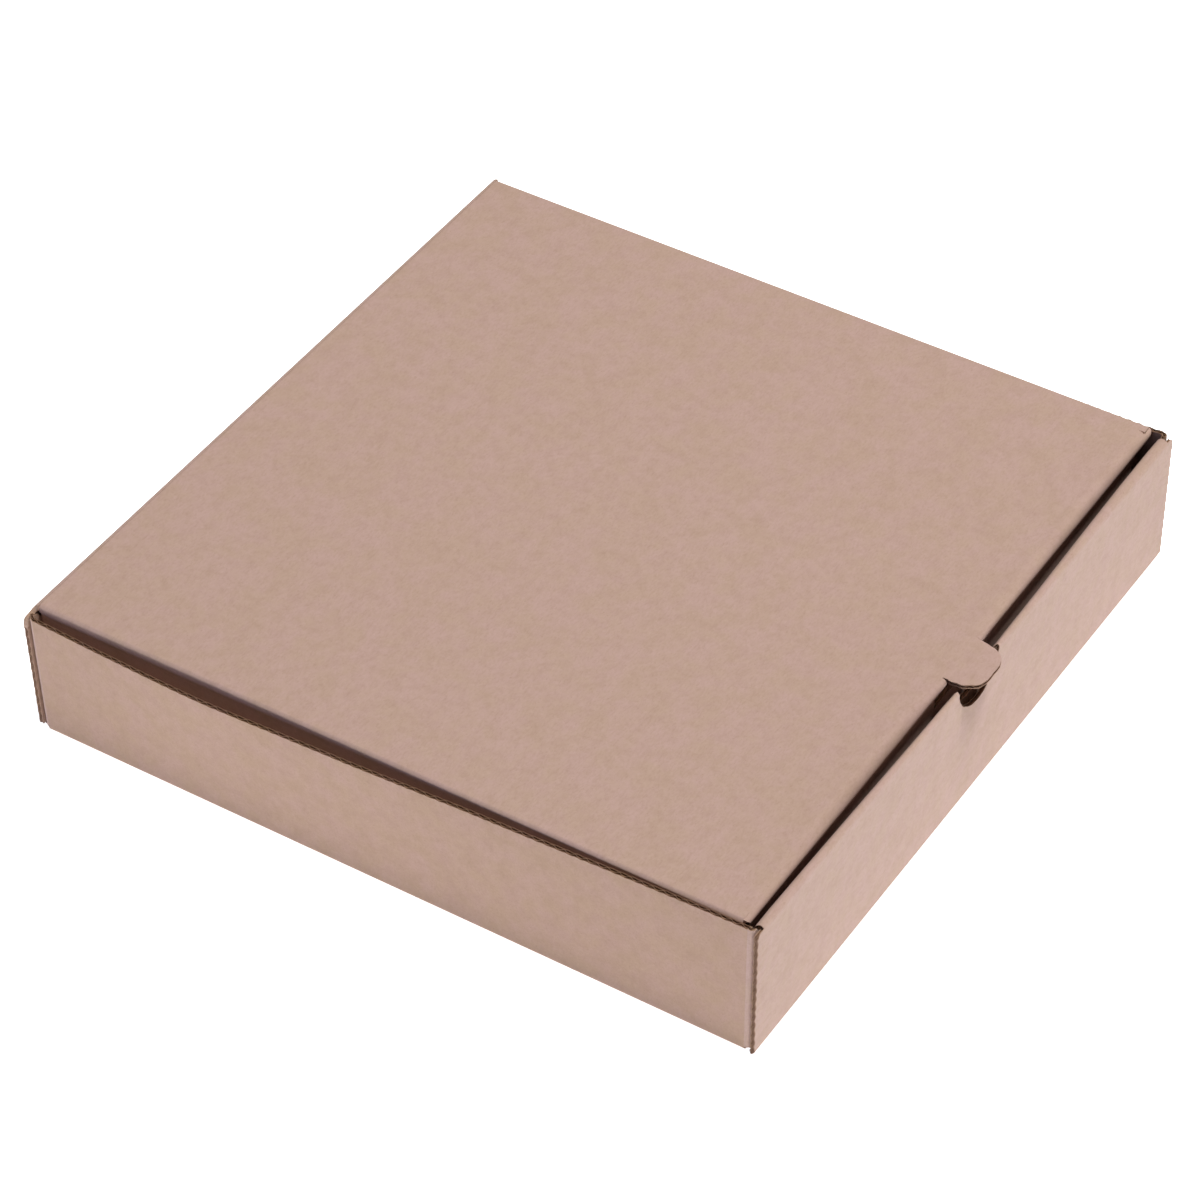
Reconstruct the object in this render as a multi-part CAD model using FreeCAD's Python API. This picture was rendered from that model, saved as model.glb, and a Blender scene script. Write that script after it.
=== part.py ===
"""Pizza box folded from one sheet of thin corrugated board.

The tray is the floor with its walls and corner flaps, and the lid is the top with its three flaps and
its thumb tab. They meet at the crease along the top of the back wall. Millimetres, +Z up, front at -Y,
origin in the middle of the underside.
"""

import FreeCAD, Part

import math
import os

# Overall size, outside of the closed box
box_width = 234.0
box_depth = 234.0
box_height = 46.5

# Board and its creases
board = 1.5
crease_press = 0.1
fold_radius = 1.0
soft_fold_radius = 1.8
layer_gap = 0.1
base_clearance = 0.2

# Side walls: height at each end, how far the top leans out, and the share of it at even steps
# along the wall from the rear to the front
wall_height_rear = 42.4
wall_height_front = 44.9
left_lean = 4.5
right_lean = 0.8
lean_along_wall = (0.44, 0.78, 1.0, 0.87, 0.69, 0.45, 0.27, 0.1, 0.0)
wall_corner_dip = 0.9
wall_corner_run = 5.0

# Corner flaps
flap_length = 55.0
front_flap_height = 36.0
rear_flap_height = 38.0
flap_taper_run = 6.0
flap_end_chamfer = 6.0

# Roll-over front wall
front_height = 44.8
strip_width = 3.2
inner_end_inset = 3.0
inner_slant_height = 8.0
outer_corner_drop = 1.0
outer_corner_round = 1.5
outer_foot_chamfer = 1.6
notch_radius = 11.5
notch_offset = 1.0

# Lock tabs of the inner front panel and their slots in the floor
lock_tab_width = 24.0
lock_tab_spacing = 140.0
lock_tab_clearance = 0.25
lock_tab_lift = 0.3

# Lid
lid_side_gap = 0.3
front_gap_left = 0.9
front_gap_right = 2.3
hinge_clearance = 0.05
lid_flap_depth = 30.0
lid_flap_rear_gap = 1.4
lid_flap_front_gap = 1.6
lid_flap_rear_taper = 6.0
lid_flap_front_taper = 9.0
lid_corner_round = 1.2
tuck_depth = 22.0
tuck_lean = 3.2
tuck_end_inset = 2.0
tuck_end_taper = 6.0

# Thumb tab of the lid
tab_width = 19.2
tab_overhang = 4.4
tab_corner_radius = 6.0
tab_kerf = 0.3

# Derived places
half_width = box_width / 2
half_depth = box_depth / 2
fold_outer = fold_radius + board / 2
floor_reach = 2 * fold_outer
flap_layer = board + layer_gap
hinge_y = half_depth - board / 2
hinge_z = box_height - board / 2
lid_half_width = half_width - board - lid_side_gap
inner_half_width = half_width - inner_end_inset
wall_front_y = -half_depth + flap_layer + fold_outer
wall_rear_y = half_depth - flap_layer - fold_outer


def along_yz(x):
    """Places a section's points in the upright plane across the box at x."""
    return lambda a, b: FreeCAD.Vector(x, a, b)


def along_xz(y):
    """Places a section's points in the upright plane along the box at y."""
    return lambda a, b: FreeCAD.Vector(a, y, b)


def along_xy(z):
    """Places a section's points in the level plane at z."""
    return lambda a, b: FreeCAD.Vector(a, b, z)


def board_face_line(path, radii, offset, start_trim, end_trim):
    """One face of a folded board as corners and arcs, to the left of its mid-line by offset."""
    runs = []
    for (x0, y0), (x1, y1) in zip(path, path[1:]):
        length = math.hypot(x1 - x0, y1 - y0)
        runs.append(((x1 - x0) / length, (y1 - y0) / length))
    line = [("point", (path[0][0] + runs[0][0] * start_trim - runs[0][1] * offset,
                       path[0][1] + runs[0][1] * start_trim + runs[0][0] * offset))]
    for corner, radius, before, after in zip(path[1:], radii, runs, runs[1:]):
        turn = math.atan2(before[0] * after[1] - before[1] * after[0],
                          before[0] * after[0] + before[1] * after[1])
        side = math.copysign(1.0, turn)
        reach = radius * math.tan(abs(turn) / 2)
        centre = (corner[0] - before[0] * reach - before[1] * side * radius,
                  corner[1] - before[1] * reach + before[0] * side * radius)
        swing = side * (radius - side * offset)
        middle = (before[0] + after[0], before[1] + after[1])
        size = math.hypot(middle[0], middle[1])
        middle = (middle[0] / size, middle[1] / size)
        arc = [(centre[0] + way[1] * swing, centre[1] - way[0] * swing) for way in (before, middle, after)]
        line.append(("arc", arc))
    line.append(("point", (path[-1][0] - runs[-1][0] * end_trim - runs[-1][1] * offset,
                           path[-1][1] - runs[-1][1] * end_trim + runs[-1][0] * offset)))
    return line


def board_wire(path, radii, place, thickness=board, start_point=False, end_point=False):
    """Closed outline of a folded board's section; an end can be cut to a right-angled point."""
    half = thickness / 2
    start_trim = half if start_point else 0.0
    end_trim = half if end_point else 0.0
    left = board_face_line(path, radii, half, start_trim, end_trim)
    right = board_face_line(path, radii, -half, start_trim, end_trim)
    tour = list(left)
    if end_point:
        tour.append(("point", path[-1]))
    for kind, where in reversed(right):
        tour.append((kind, where[::-1]) if kind == "arc" else (kind, where))
    if start_point:
        tour.append(("point", path[0]))
    tour.append(tour[0])
    edges = []
    last = None
    for kind, where in tour:
        first = where[0] if kind == "arc" else where
        if last is not None and math.hypot(first[0] - last[0], first[1] - last[1]) > 1e-6:
            edges.append(Part.makeLine(place(*last), place(*first)))
        if kind == "arc":
            edges.append(Part.Arc(*[place(*point) for point in where]).toShape())
            last = where[2]
        else:
            last = where
    return Part.Wire(edges)


def extruded(wire, vector):
    """Solid made by pushing a closed flat outline along a vector."""
    return Part.Face(wire).extrude(FreeCAD.Vector(*vector))


def prism(points, place, vector):
    """Solid made by pushing a polygon along a vector."""
    corners = [place(*point) for point in points]
    return extruded(Part.makePolygon(corners + corners[:1]), vector)


def block(x0, x1, y0, y1, z0, z1):
    """Rectangular solid between two corners."""
    return Part.makeBox(x1 - x0, y1 - y0, z1 - z0, FreeCAD.Vector(x0, y0, z0))


def joined(shapes):
    """One clean solid from pieces that overlap."""
    shape = shapes[0].fuse(shapes[1:]).removeSplitter()
    if len(shape.Solids) != 1:
        raise ValueError("the board fell into %d pieces" % len(shape.Solids))
    return shape.Solids[0]


def wall_place(share):
    """Y of a place along a side wall, counted from its rear end."""
    return wall_rear_y + (wall_front_y - wall_rear_y) * share


def wall_height(share):
    """Height of a side wall's cut edge at a place along it."""
    return wall_height_rear + (wall_height_front - wall_height_rear) * share


def side_wall(side, lean):
    """Wall folded up from the floor, with its top leaning out by a different amount along it."""
    sections = []
    outer = side * (half_width - board / 2)
    for step, part_of_lean in enumerate(lean_along_wall):
        share = step / (len(lean_along_wall) - 1)
        path = [(side * (half_width - floor_reach), board / 2), (outer, board / 2),
                (outer + side * lean * part_of_lean, wall_height(share))]
        sections.append(board_wire(path, [fold_radius], along_xz(wall_place(share))))
    wall = Part.makeLoft(sections, True, False)
    dip = [(wall_front_y - board, wall_height_front - wall_corner_dip),
           (wall_front_y + wall_corner_run, wall_height_front + board),
           (wall_front_y - board, wall_height_front + board)]
    return wall.cut(prism(dip, along_yz(-box_width), (2 * box_width, 0, 0)))


def corner_flap(side, end, lean, top, height):
    """Flap folded in from one end of a side wall; end is -1 at the front and 1 at the rear."""
    edge_y = wall_front_y if end < 0 else wall_rear_y
    layer_y = edge_y + end * fold_radius
    wall_x = half_width - board / 2
    foot = board + base_clearance
    wires = []
    for z in (foot, top):
        shift = lean * z / top
        path = [(side * (wall_x + shift), edge_y - end * board), (side * (wall_x + shift), layer_y),
                (side * (half_width - flap_length), layer_y)]
        wires.append(board_wire(path, [fold_radius], along_xy(z), board - crease_press))
    bend = Part.makeLoft(wires, True, True)
    outside = half_width + lean + board
    inside = half_width - flap_length
    outline = [(outside, foot), (inside + flap_end_chamfer, foot), (inside, foot + flap_end_chamfer),
               (inside, height - flap_end_chamfer), (inside + flap_end_chamfer, height),
               (half_width - fold_outer - flap_taper_run, height), (half_width - fold_outer, top),
               (outside, top)]
    window = prism([(side * x, z) for x, z in outline], along_xz(-box_depth), (0, 2 * box_depth, 0))
    return bend.common(window)


def front_wall():
    """Outer panel, top strip and inner panel, rolled over in one piece, with the thumb notch."""
    outer_y = -half_depth + board / 2
    strip_y = -half_depth + strip_width - board / 2
    inner_y = -half_depth + 2 * flap_layer + board / 2 + layer_gap
    strip_z = front_height - board / 2
    slant_z = front_height - inner_slant_height
    foot_z = board + base_clearance
    path = [(-half_depth + floor_reach, board / 2), (outer_y, board / 2), (outer_y, strip_z),
            (strip_y, strip_z), (inner_y, slant_z), (inner_y, foot_z)]
    top_radius = (strip_y - outer_y) / 2.2
    radii = [fold_radius, top_radius, top_radius, inner_slant_height / 2]
    rolled = extruded(board_wire(path, radii, along_yz(-inner_half_width)), (2 * inner_half_width, 0, 0))
    corner_z = front_height - outer_corner_drop
    panel = prism([(-half_width + outer_foot_chamfer, board), (half_width - outer_foot_chamfer, board),
                   (half_width, board + outer_foot_chamfer), (half_width, corner_z - outer_corner_round),
                   (half_width - outer_corner_round, corner_z),
                   (-half_width + outer_corner_round, corner_z),
                   (-half_width, corner_z - outer_corner_round),
                   (-half_width, board + outer_foot_chamfer)], along_xz(-half_depth), (0, board, 0))
    wall = rolled.fuse(panel)
    for centre in (-lock_tab_spacing / 2, lock_tab_spacing / 2):
        tab = block(centre - lock_tab_width / 2, centre + lock_tab_width / 2,
                    inner_y - board / 2, inner_y + board / 2, lock_tab_lift, foot_z + board)
        wall = wall.fuse(tab)
    notch = Part.makeCylinder(notch_radius, 4 * flap_layer, FreeCAD.Vector(notch_offset, -half_depth - board,
                              front_height), FreeCAD.Vector(0, 1, 0))
    return wall.cut(notch), inner_y


def back_wall():
    """Wall folded up from the floor, full width, cut to a point at the hinge crease."""
    wall_y = half_depth - board / 2
    path = [(half_depth - floor_reach, board / 2), (wall_y, board / 2), (hinge_y, hinge_z - hinge_clearance)]
    bent_half = half_width - fold_outer
    bent = extruded(board_wire(path, [fold_radius], along_yz(-bent_half), end_point=True),
                    (2 * bent_half, 0, 0))
    upright = [(wall_y, fold_outer), (hinge_y, hinge_z - hinge_clearance)]
    return bent.fuse(extruded(board_wire(upright, [], along_yz(-half_width), end_point=True),
                              (box_width, 0, 0)))


def tray():
    """Everything below the hinge crease."""
    floor = block(fold_outer - half_width, half_width - fold_outer,
                  fold_outer - half_depth, half_depth - fold_outer, 0, board)
    front, inner_y = front_wall()
    pieces = [floor, back_wall()]
    for side, lean in ((-1, left_lean), (1, right_lean)):
        rear_lean = lean * lean_along_wall[0]
        pieces.append(side_wall(side, lean))
        pieces.append(corner_flap(side, -1, 0.0, wall_height_front - wall_corner_dip, front_flap_height))
        pieces.append(corner_flap(side, 1, rear_lean, wall_height_rear, rear_flap_height))
    shape = joined(pieces)
    for centre in (-lock_tab_spacing / 2, lock_tab_spacing / 2):
        half_slot = lock_tab_width / 2 + lock_tab_clearance
        shape = shape.cut(block(centre - half_slot, centre + half_slot,
                                inner_y - board / 2 - lock_tab_clearance,
                                inner_y + board / 2 + lock_tab_clearance, -board, board + layer_gap))
    return joined([shape, front])


def lid_front(x):
    """Y of the lid's front fold at x: the lid lies a little askew behind the front wall."""
    share = (x + lid_half_width) / (2 * lid_half_width)
    gap = front_gap_left + (front_gap_right - front_gap_left) * share
    return -half_depth + strip_width + gap


def lid_panel():
    """Top panel and front tuck flap in one bend."""
    panel_half = lid_half_width - fold_outer
    wires = []
    for x in (-panel_half, panel_half):
        fold_y = lid_front(x) + board / 2
        path = [(hinge_y - hinge_clearance, hinge_z), (fold_y, hinge_z),
                (fold_y + tuck_lean, hinge_z - tuck_depth)]
        wires.append(board_wire(path, [soft_fold_radius], along_yz(x), start_point=True))
    return Part.makeLoft(wires, True, True)


def lid_edges(side):
    """Flat edges of the lid's panel beyond the ends of a side flap's fold."""
    edge = side * lid_half_width
    seam = side * (lid_half_width - floor_reach)
    reach = lid_corner_round + soft_fold_radius + board
    shapes = []
    rear_start = lid_flap_rear_y() - 2 * board
    rear = board_wire([(hinge_y - hinge_clearance, hinge_z), (rear_start, hinge_z)], [],
                      along_yz(min(edge, seam)), start_point=True)
    shapes.append(extruded(rear, (floor_reach, 0, 0)))
    front = [(edge, lid_flap_front_y() + board), (edge, lid_front(edge) + lid_corner_round),
             (edge - side * lid_corner_round, lid_front(edge) + layer_gap),
             (seam, lid_front(edge) + reach), (seam, lid_flap_front_y() + board)]
    shapes.append(prism(front, along_xy(box_height - board), (0, 0, board)))
    return shapes


def lid_flap_rear_y():
    """Rear end of the side flaps, in front of the tray's rear corner flaps."""
    return half_depth - 2 * flap_layer - lid_flap_rear_gap


def lid_flap_front_y():
    """Front end of the side flaps, behind the inner front panel and the tuck flap's fold."""
    return lid_front(lid_half_width) + lid_flap_front_gap


def side_flap(side):
    """Side flap with tapered ends, folded down from the panel's edge."""
    x = side * (lid_half_width - board / 2)
    path = [(side * (lid_half_width - floor_reach), hinge_z), (x, hinge_z), (x, hinge_z - lid_flap_depth)]
    front_y = lid_flap_front_y()
    rear_y = lid_flap_rear_y()
    foot_z = hinge_z - lid_flap_depth
    flap = extruded(board_wire(path, [fold_radius], along_xz(front_y)), (0, rear_y - front_y, 0))
    root_z = hinge_z - fold_outer
    outline = [(front_y, box_height + board), (rear_y, box_height + board), (rear_y, root_z),
               (rear_y - lid_flap_rear_taper, foot_z - board),
               (front_y + lid_flap_front_taper, foot_z - board), (front_y, root_z)]
    return flap.common(prism(outline, along_yz(-box_width), (2 * box_width, 0, 0)))


def thumb_tab():
    """Tongue in the plane of the lid, cut out of the tuck flap, reaching over the notch."""
    half = tab_width / 2
    root_y = lid_front(0) + 2 * fold_outer
    tip_y = -half_depth - tab_overhang
    outline = [(-half, root_y), (-half, tip_y), (half, tip_y), (half, root_y)]
    tab = prism(outline, along_xy(box_height - board), (0, 0, board))
    corners = [edge for edge in tab.Edges
               if all(abs(v.Y - tip_y) < 1e-6 for v in edge.Vertexes)
               and abs(edge.Vertexes[0].Z - edge.Vertexes[1].Z) > board / 2]
    return tab.makeFillet(min(tab_corner_radius, half - board), corners)


def lid():
    """Everything beyond the hinge crease."""
    shape = lid_panel()
    foot_z = hinge_z - tuck_depth - board
    root_z = hinge_z - soft_fold_radius - board
    end_x = lid_half_width - fold_outer
    for side in (-1, 1):
        taper = [(side * (end_x + board), root_z), (side * (end_x - tuck_end_inset), root_z),
                 (side * (end_x - tuck_end_inset - tuck_end_taper), foot_z),
                 (side * (end_x + board), foot_z)]
        shape = shape.cut(prism(taper, along_xz(-half_depth), (0, 5 * fold_outer + tuck_lean, 0)))
    reach = half_depth + tab_overhang + lid_front(0)
    gap_half = tab_width / 2 + tab_kerf
    front_y = lid_front(-lid_half_width)
    shape = shape.cut(block(-gap_half, gap_half, front_y - board, lid_front(0) + 2 * fold_outer,
                            box_height - board - reach, box_height + board))
    pieces = [shape, thumb_tab()]
    for side in (-1, 1):
        pieces.append(side_flap(side))
        pieces.extend(lid_edges(side))
    return joined(pieces)


def main():
    """Writes each solid as its own STEP file."""
    os.makedirs("parts", exist_ok=True)
    for name, make in (("tray", tray), ("lid", lid)):
        shape = make()
        if not shape.isValid():
            raise ValueError(name + " is not a valid solid")
        shape.exportStep(os.path.join("parts", name + ".step"))
        box = shape.BoundBox
        print(name, round(shape.Volume), "mm3", [round(v, 2) for v in (
            box.XMin, box.XMax, box.YMin, box.YMax, box.ZMin, box.ZMax)])


main()
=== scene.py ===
"""Looks of the pizza box: the folded board, its cut edges and its creases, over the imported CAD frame.

Sizes are in millimetres as the box maker writes them, and turn into metres where a mesh is made. Each
panel is drawn flat, as on the cutting die, and is then folded along its path. X runs across the box,
the front wall is at -Y, the hinge is at +Y and +Z is up.
"""

import logging
import math
from dataclasses import dataclass, field
from enum import Enum
from typing import Callable, Sequence

import bpy
import numpy as np
from mathutils import Matrix, Vector
from mathutils.geometry import delaunay_2d_cdt

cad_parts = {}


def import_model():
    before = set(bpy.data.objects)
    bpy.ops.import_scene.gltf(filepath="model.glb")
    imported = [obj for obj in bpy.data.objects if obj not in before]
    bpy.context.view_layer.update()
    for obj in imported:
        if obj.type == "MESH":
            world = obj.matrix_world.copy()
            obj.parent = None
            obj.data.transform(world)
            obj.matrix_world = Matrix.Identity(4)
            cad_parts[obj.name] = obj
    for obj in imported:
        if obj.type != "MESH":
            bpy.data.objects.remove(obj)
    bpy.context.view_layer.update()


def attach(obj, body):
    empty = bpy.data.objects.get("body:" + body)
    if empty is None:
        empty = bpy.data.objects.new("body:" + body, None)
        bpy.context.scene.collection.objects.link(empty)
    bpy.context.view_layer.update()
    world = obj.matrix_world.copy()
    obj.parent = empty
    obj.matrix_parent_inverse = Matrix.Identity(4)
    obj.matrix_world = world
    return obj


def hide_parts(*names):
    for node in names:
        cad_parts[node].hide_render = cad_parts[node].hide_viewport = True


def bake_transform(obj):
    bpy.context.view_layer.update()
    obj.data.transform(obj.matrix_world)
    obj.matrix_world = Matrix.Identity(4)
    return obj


log = logging.getLogger("pizza_box")

MM = 0.001
Point = tuple[float, float]
Place = tuple[float, float, float]
Array = np.ndarray


class Face(Enum):
    """Material slots of a sheet of board, in slot order."""

    OUTER = 0
    INNER = 1
    EDGE = 2
    # Slot of painted shade: a darker kraft for the shadowed inside of an open cut
    PAINTED_HOLLOW_SHADE = 3


class Way(Enum):
    """The flat coordinate that the flutes run along: down the fold path, or across it."""

    DOWN = 0
    ACROSS = 1


@dataclass(frozen=True)
class Board:
    """Single-wall board of fine flute.

    Attributes:
        thickness: Over both liners.
        liner: Thickness of one liner at a cut edge.
        medium: Thickness of the fluted paper.
        pitch: Distance from one flute to the next.
        recess: How far the hollow between the liners can be seen into.
        sag: How far a cut liner dips between two flutes.
        ragged: How far the cut wanders in from its line.
        pinch: Share of the thickness that a crease presses out.
    """

    thickness: float = 1.5
    liner: float = 0.24
    medium: float = 0.17
    pitch: float = 3.3
    recess: float = 0.5
    sag: float = 0.16
    ragged: float = 0.22
    pinch: float = 0.14

    @property
    def half(self) -> float:
        """Half of the thickness."""
        return self.thickness / 2

    @property
    def wave(self) -> float:
        """Half of the height of the flutes, measured at the middle of their paper."""
        return self.half - self.liner - self.medium / 2


BOARD = Board()


class FoldPath:
    """Mid-line of folded board in its own plane, with the outside of the sheet on its left."""

    def __init__(self, corners: Sequence[Point], radii: Sequence[float], step: float = 0.25) -> None:
        """Rounds the corners and measures along the line.

        Args:
            corners: Corners of the mid-line.
            radii: Mid-line radius at each inner corner.
            step: Length of one step round a fold.
        """
        spot = np.array(corners, float)
        run = np.diff(spot, axis=0)
        length = np.hypot(run[:, 0], run[:, 1])
        way = run / length[:, None]
        points, normals, bends = [spot[0]], [self._left(way[0])], [0.0]
        self._start, self._trim = [0.0], [0.0]
        travelled = 0.0
        for i, radius in enumerate(radii):
            turn = math.atan2(way[i][0] * way[i + 1][1] - way[i][1] * way[i + 1][0], way[i] @ way[i + 1])
            reach = radius * math.tan(abs(turn) / 2)
            travelled += length[i] - self._trim[i] - reach
            centre = spot[i + 1] - way[i] * reach + self._left(way[i]) * math.copysign(radius, turn)
            steps = max(3, round(radius * abs(turn) / step))
            for k in range(steps + 1):
                share = k / steps
                normal = self._turned(self._left(way[i]), turn * share)
                points.append(centre - normal * math.copysign(radius, turn))
                normals.append(normal)
                bends.append(math.sin(math.pi * share))
            travelled += radius * abs(turn)
            self._start.append(travelled)
            self._trim.append(reach)
        points.append(spot[-1])
        normals.append(self._left(way[-1]))
        bends.append(0.0)
        self._finish(points, normals, bends)

    @classmethod
    def through(cls, points: Sequence[Point]) -> "FoldPath":
        """A smooth free path through points that lie close together."""
        path = cls.__new__(cls)
        spot = np.array(points, float)
        way = np.gradient(spot, axis=0)
        way /= np.hypot(way[:, 0], way[:, 1])[:, None]
        path._start, path._trim = [0.0], [0.0]
        path._finish(list(spot), [cls._left(w) for w in way], [0.0] * len(spot))
        return path

    @staticmethod
    def _left(way: Array) -> Array:
        """Direction a quarter turn to the left of another."""
        return np.array([-way[1], way[0]])

    @staticmethod
    def _turned(vector: Array, angle: float) -> Array:
        """Vector turned by an angle in radians."""
        c, s = math.cos(angle), math.sin(angle)
        return np.array([c * vector[0] - s * vector[1], s * vector[0] + c * vector[1]])

    def _finish(self, points: list, normals: list, bends: list) -> None:
        """Keeps the points, and measures along the straight steps between them."""
        self.points = np.array(points)
        self.normals = np.array(normals)
        self.bends = np.array(bends)
        gaps = np.hypot(*np.diff(self.points, axis=0).T)
        self.marks = np.concatenate([[0.0], np.cumsum(gaps)])
        marked = [self.marks[np.argmin(np.abs(self.marks - start))] for start in self._start[1:]]
        self._shift = [0.0] + [mark - start for mark, start in zip(marked, self._start[1:])]

    @property
    def length(self) -> float:
        """Length of the mid-line."""
        return float(self.marks[-1])

    def along(self, leg: int, distance: float) -> float:
        """Measure along the mid-line of a place on one leg.

        Args:
            leg: Number of the straight run, from 0.
            distance: Distance from the corner where the run starts.
        """
        return self._start[leg] + self._shift[leg] + distance - self._trim[leg]

    def at(self, s: Array, depth: Array) -> tuple[Array, Array]:
        """Both coordinates of points at s along the path and depth to its left."""
        a = np.interp(s, self.marks, self.points[:, 0])
        b = np.interp(s, self.marks, self.points[:, 1])
        na = np.interp(s, self.marks, self.normals[:, 0])
        nb = np.interp(s, self.marks, self.normals[:, 1])
        size = np.hypot(na, nb)
        return a + na / size * depth, b + nb / size * depth

    def bend(self, s: Array) -> Array:
        """How strongly the board is creased at s, from 0 to 1."""
        return np.interp(s, self.marks, self.bends)

    def rows(self, spacing: float) -> list[float]:
        """Places for the lines across the sheet: each step of a fold, and even ones on the flats.

        A flat also gets a guard line close to each of its ends, which keeps the fold's shading off it.
        """
        lines, guard, short = [], 0.3, 0.5
        for a, b in zip(self.marks, self.marks[1:]):
            parts = max(1, round((b - a) / spacing))
            lines += [a + (b - a) * k / parts for k in range(parts)]
            if b - a > short:
                inset = min(guard, (b - a) / 4)
                lines += [a + inset, b - inset]
        return sorted(lines) + [self.length]


def even(low: float, high: float, spacing: float) -> list[float]:
    """Even places from low to high, with no more than spacing between them."""
    parts = max(1, math.ceil((high - low) / spacing))
    return [low + (high - low) * k / parts for k in range(parts + 1)]


def arc(centre: Point, radius: float, start: float, end: float, steps: int = 6) -> list[Point]:
    """Points on an arc, with its angles in degrees."""
    angles = [math.radians(start + (end - start) * k / steps) for k in range(steps + 1)]
    return [(centre[0] + radius * math.cos(a), centre[1] + radius * math.sin(a)) for a in angles]


def wander(*coords: Array) -> Array:
    """Smooth irregular number between about -1 and 1 for each place, the same at every run.

    It adds up three sine waves for each coordinate, a long, a middle and a short one, which never fall
    into step.
    """
    total = np.zeros_like(np.asarray(coords[0], float))
    for i, c in enumerate(coords):
        total = total + np.sin(c * (0.83 + 0.19 * i) + 1.3 * i) + 0.6 * np.sin(c * (2.17 - 0.31 * i) + 0.7)
        total = total + 0.4 * np.sin(c * (4.61 + 0.47 * i) + 2.1 * i)
    return total / (2.0 * len(coords))


@dataclass
class Strip:
    """Lines along the cut edges where the fluted paper shows between the liners.

    Attributes:
        front: Places, directions through the board and flute counts just inside the cut, rim by rim.
        back: The same at the bottom of the hollow.
        faces: Pairs of front points that the paper joins.
        count: Number of the front points.
    """

    front: list[tuple[Array, Array, Array]] = field(default_factory=list)
    back: list[tuple[Array, Array, Array]] = field(default_factory=list)
    faces: list[tuple[int, int]] = field(default_factory=list)
    count: int = 0


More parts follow.
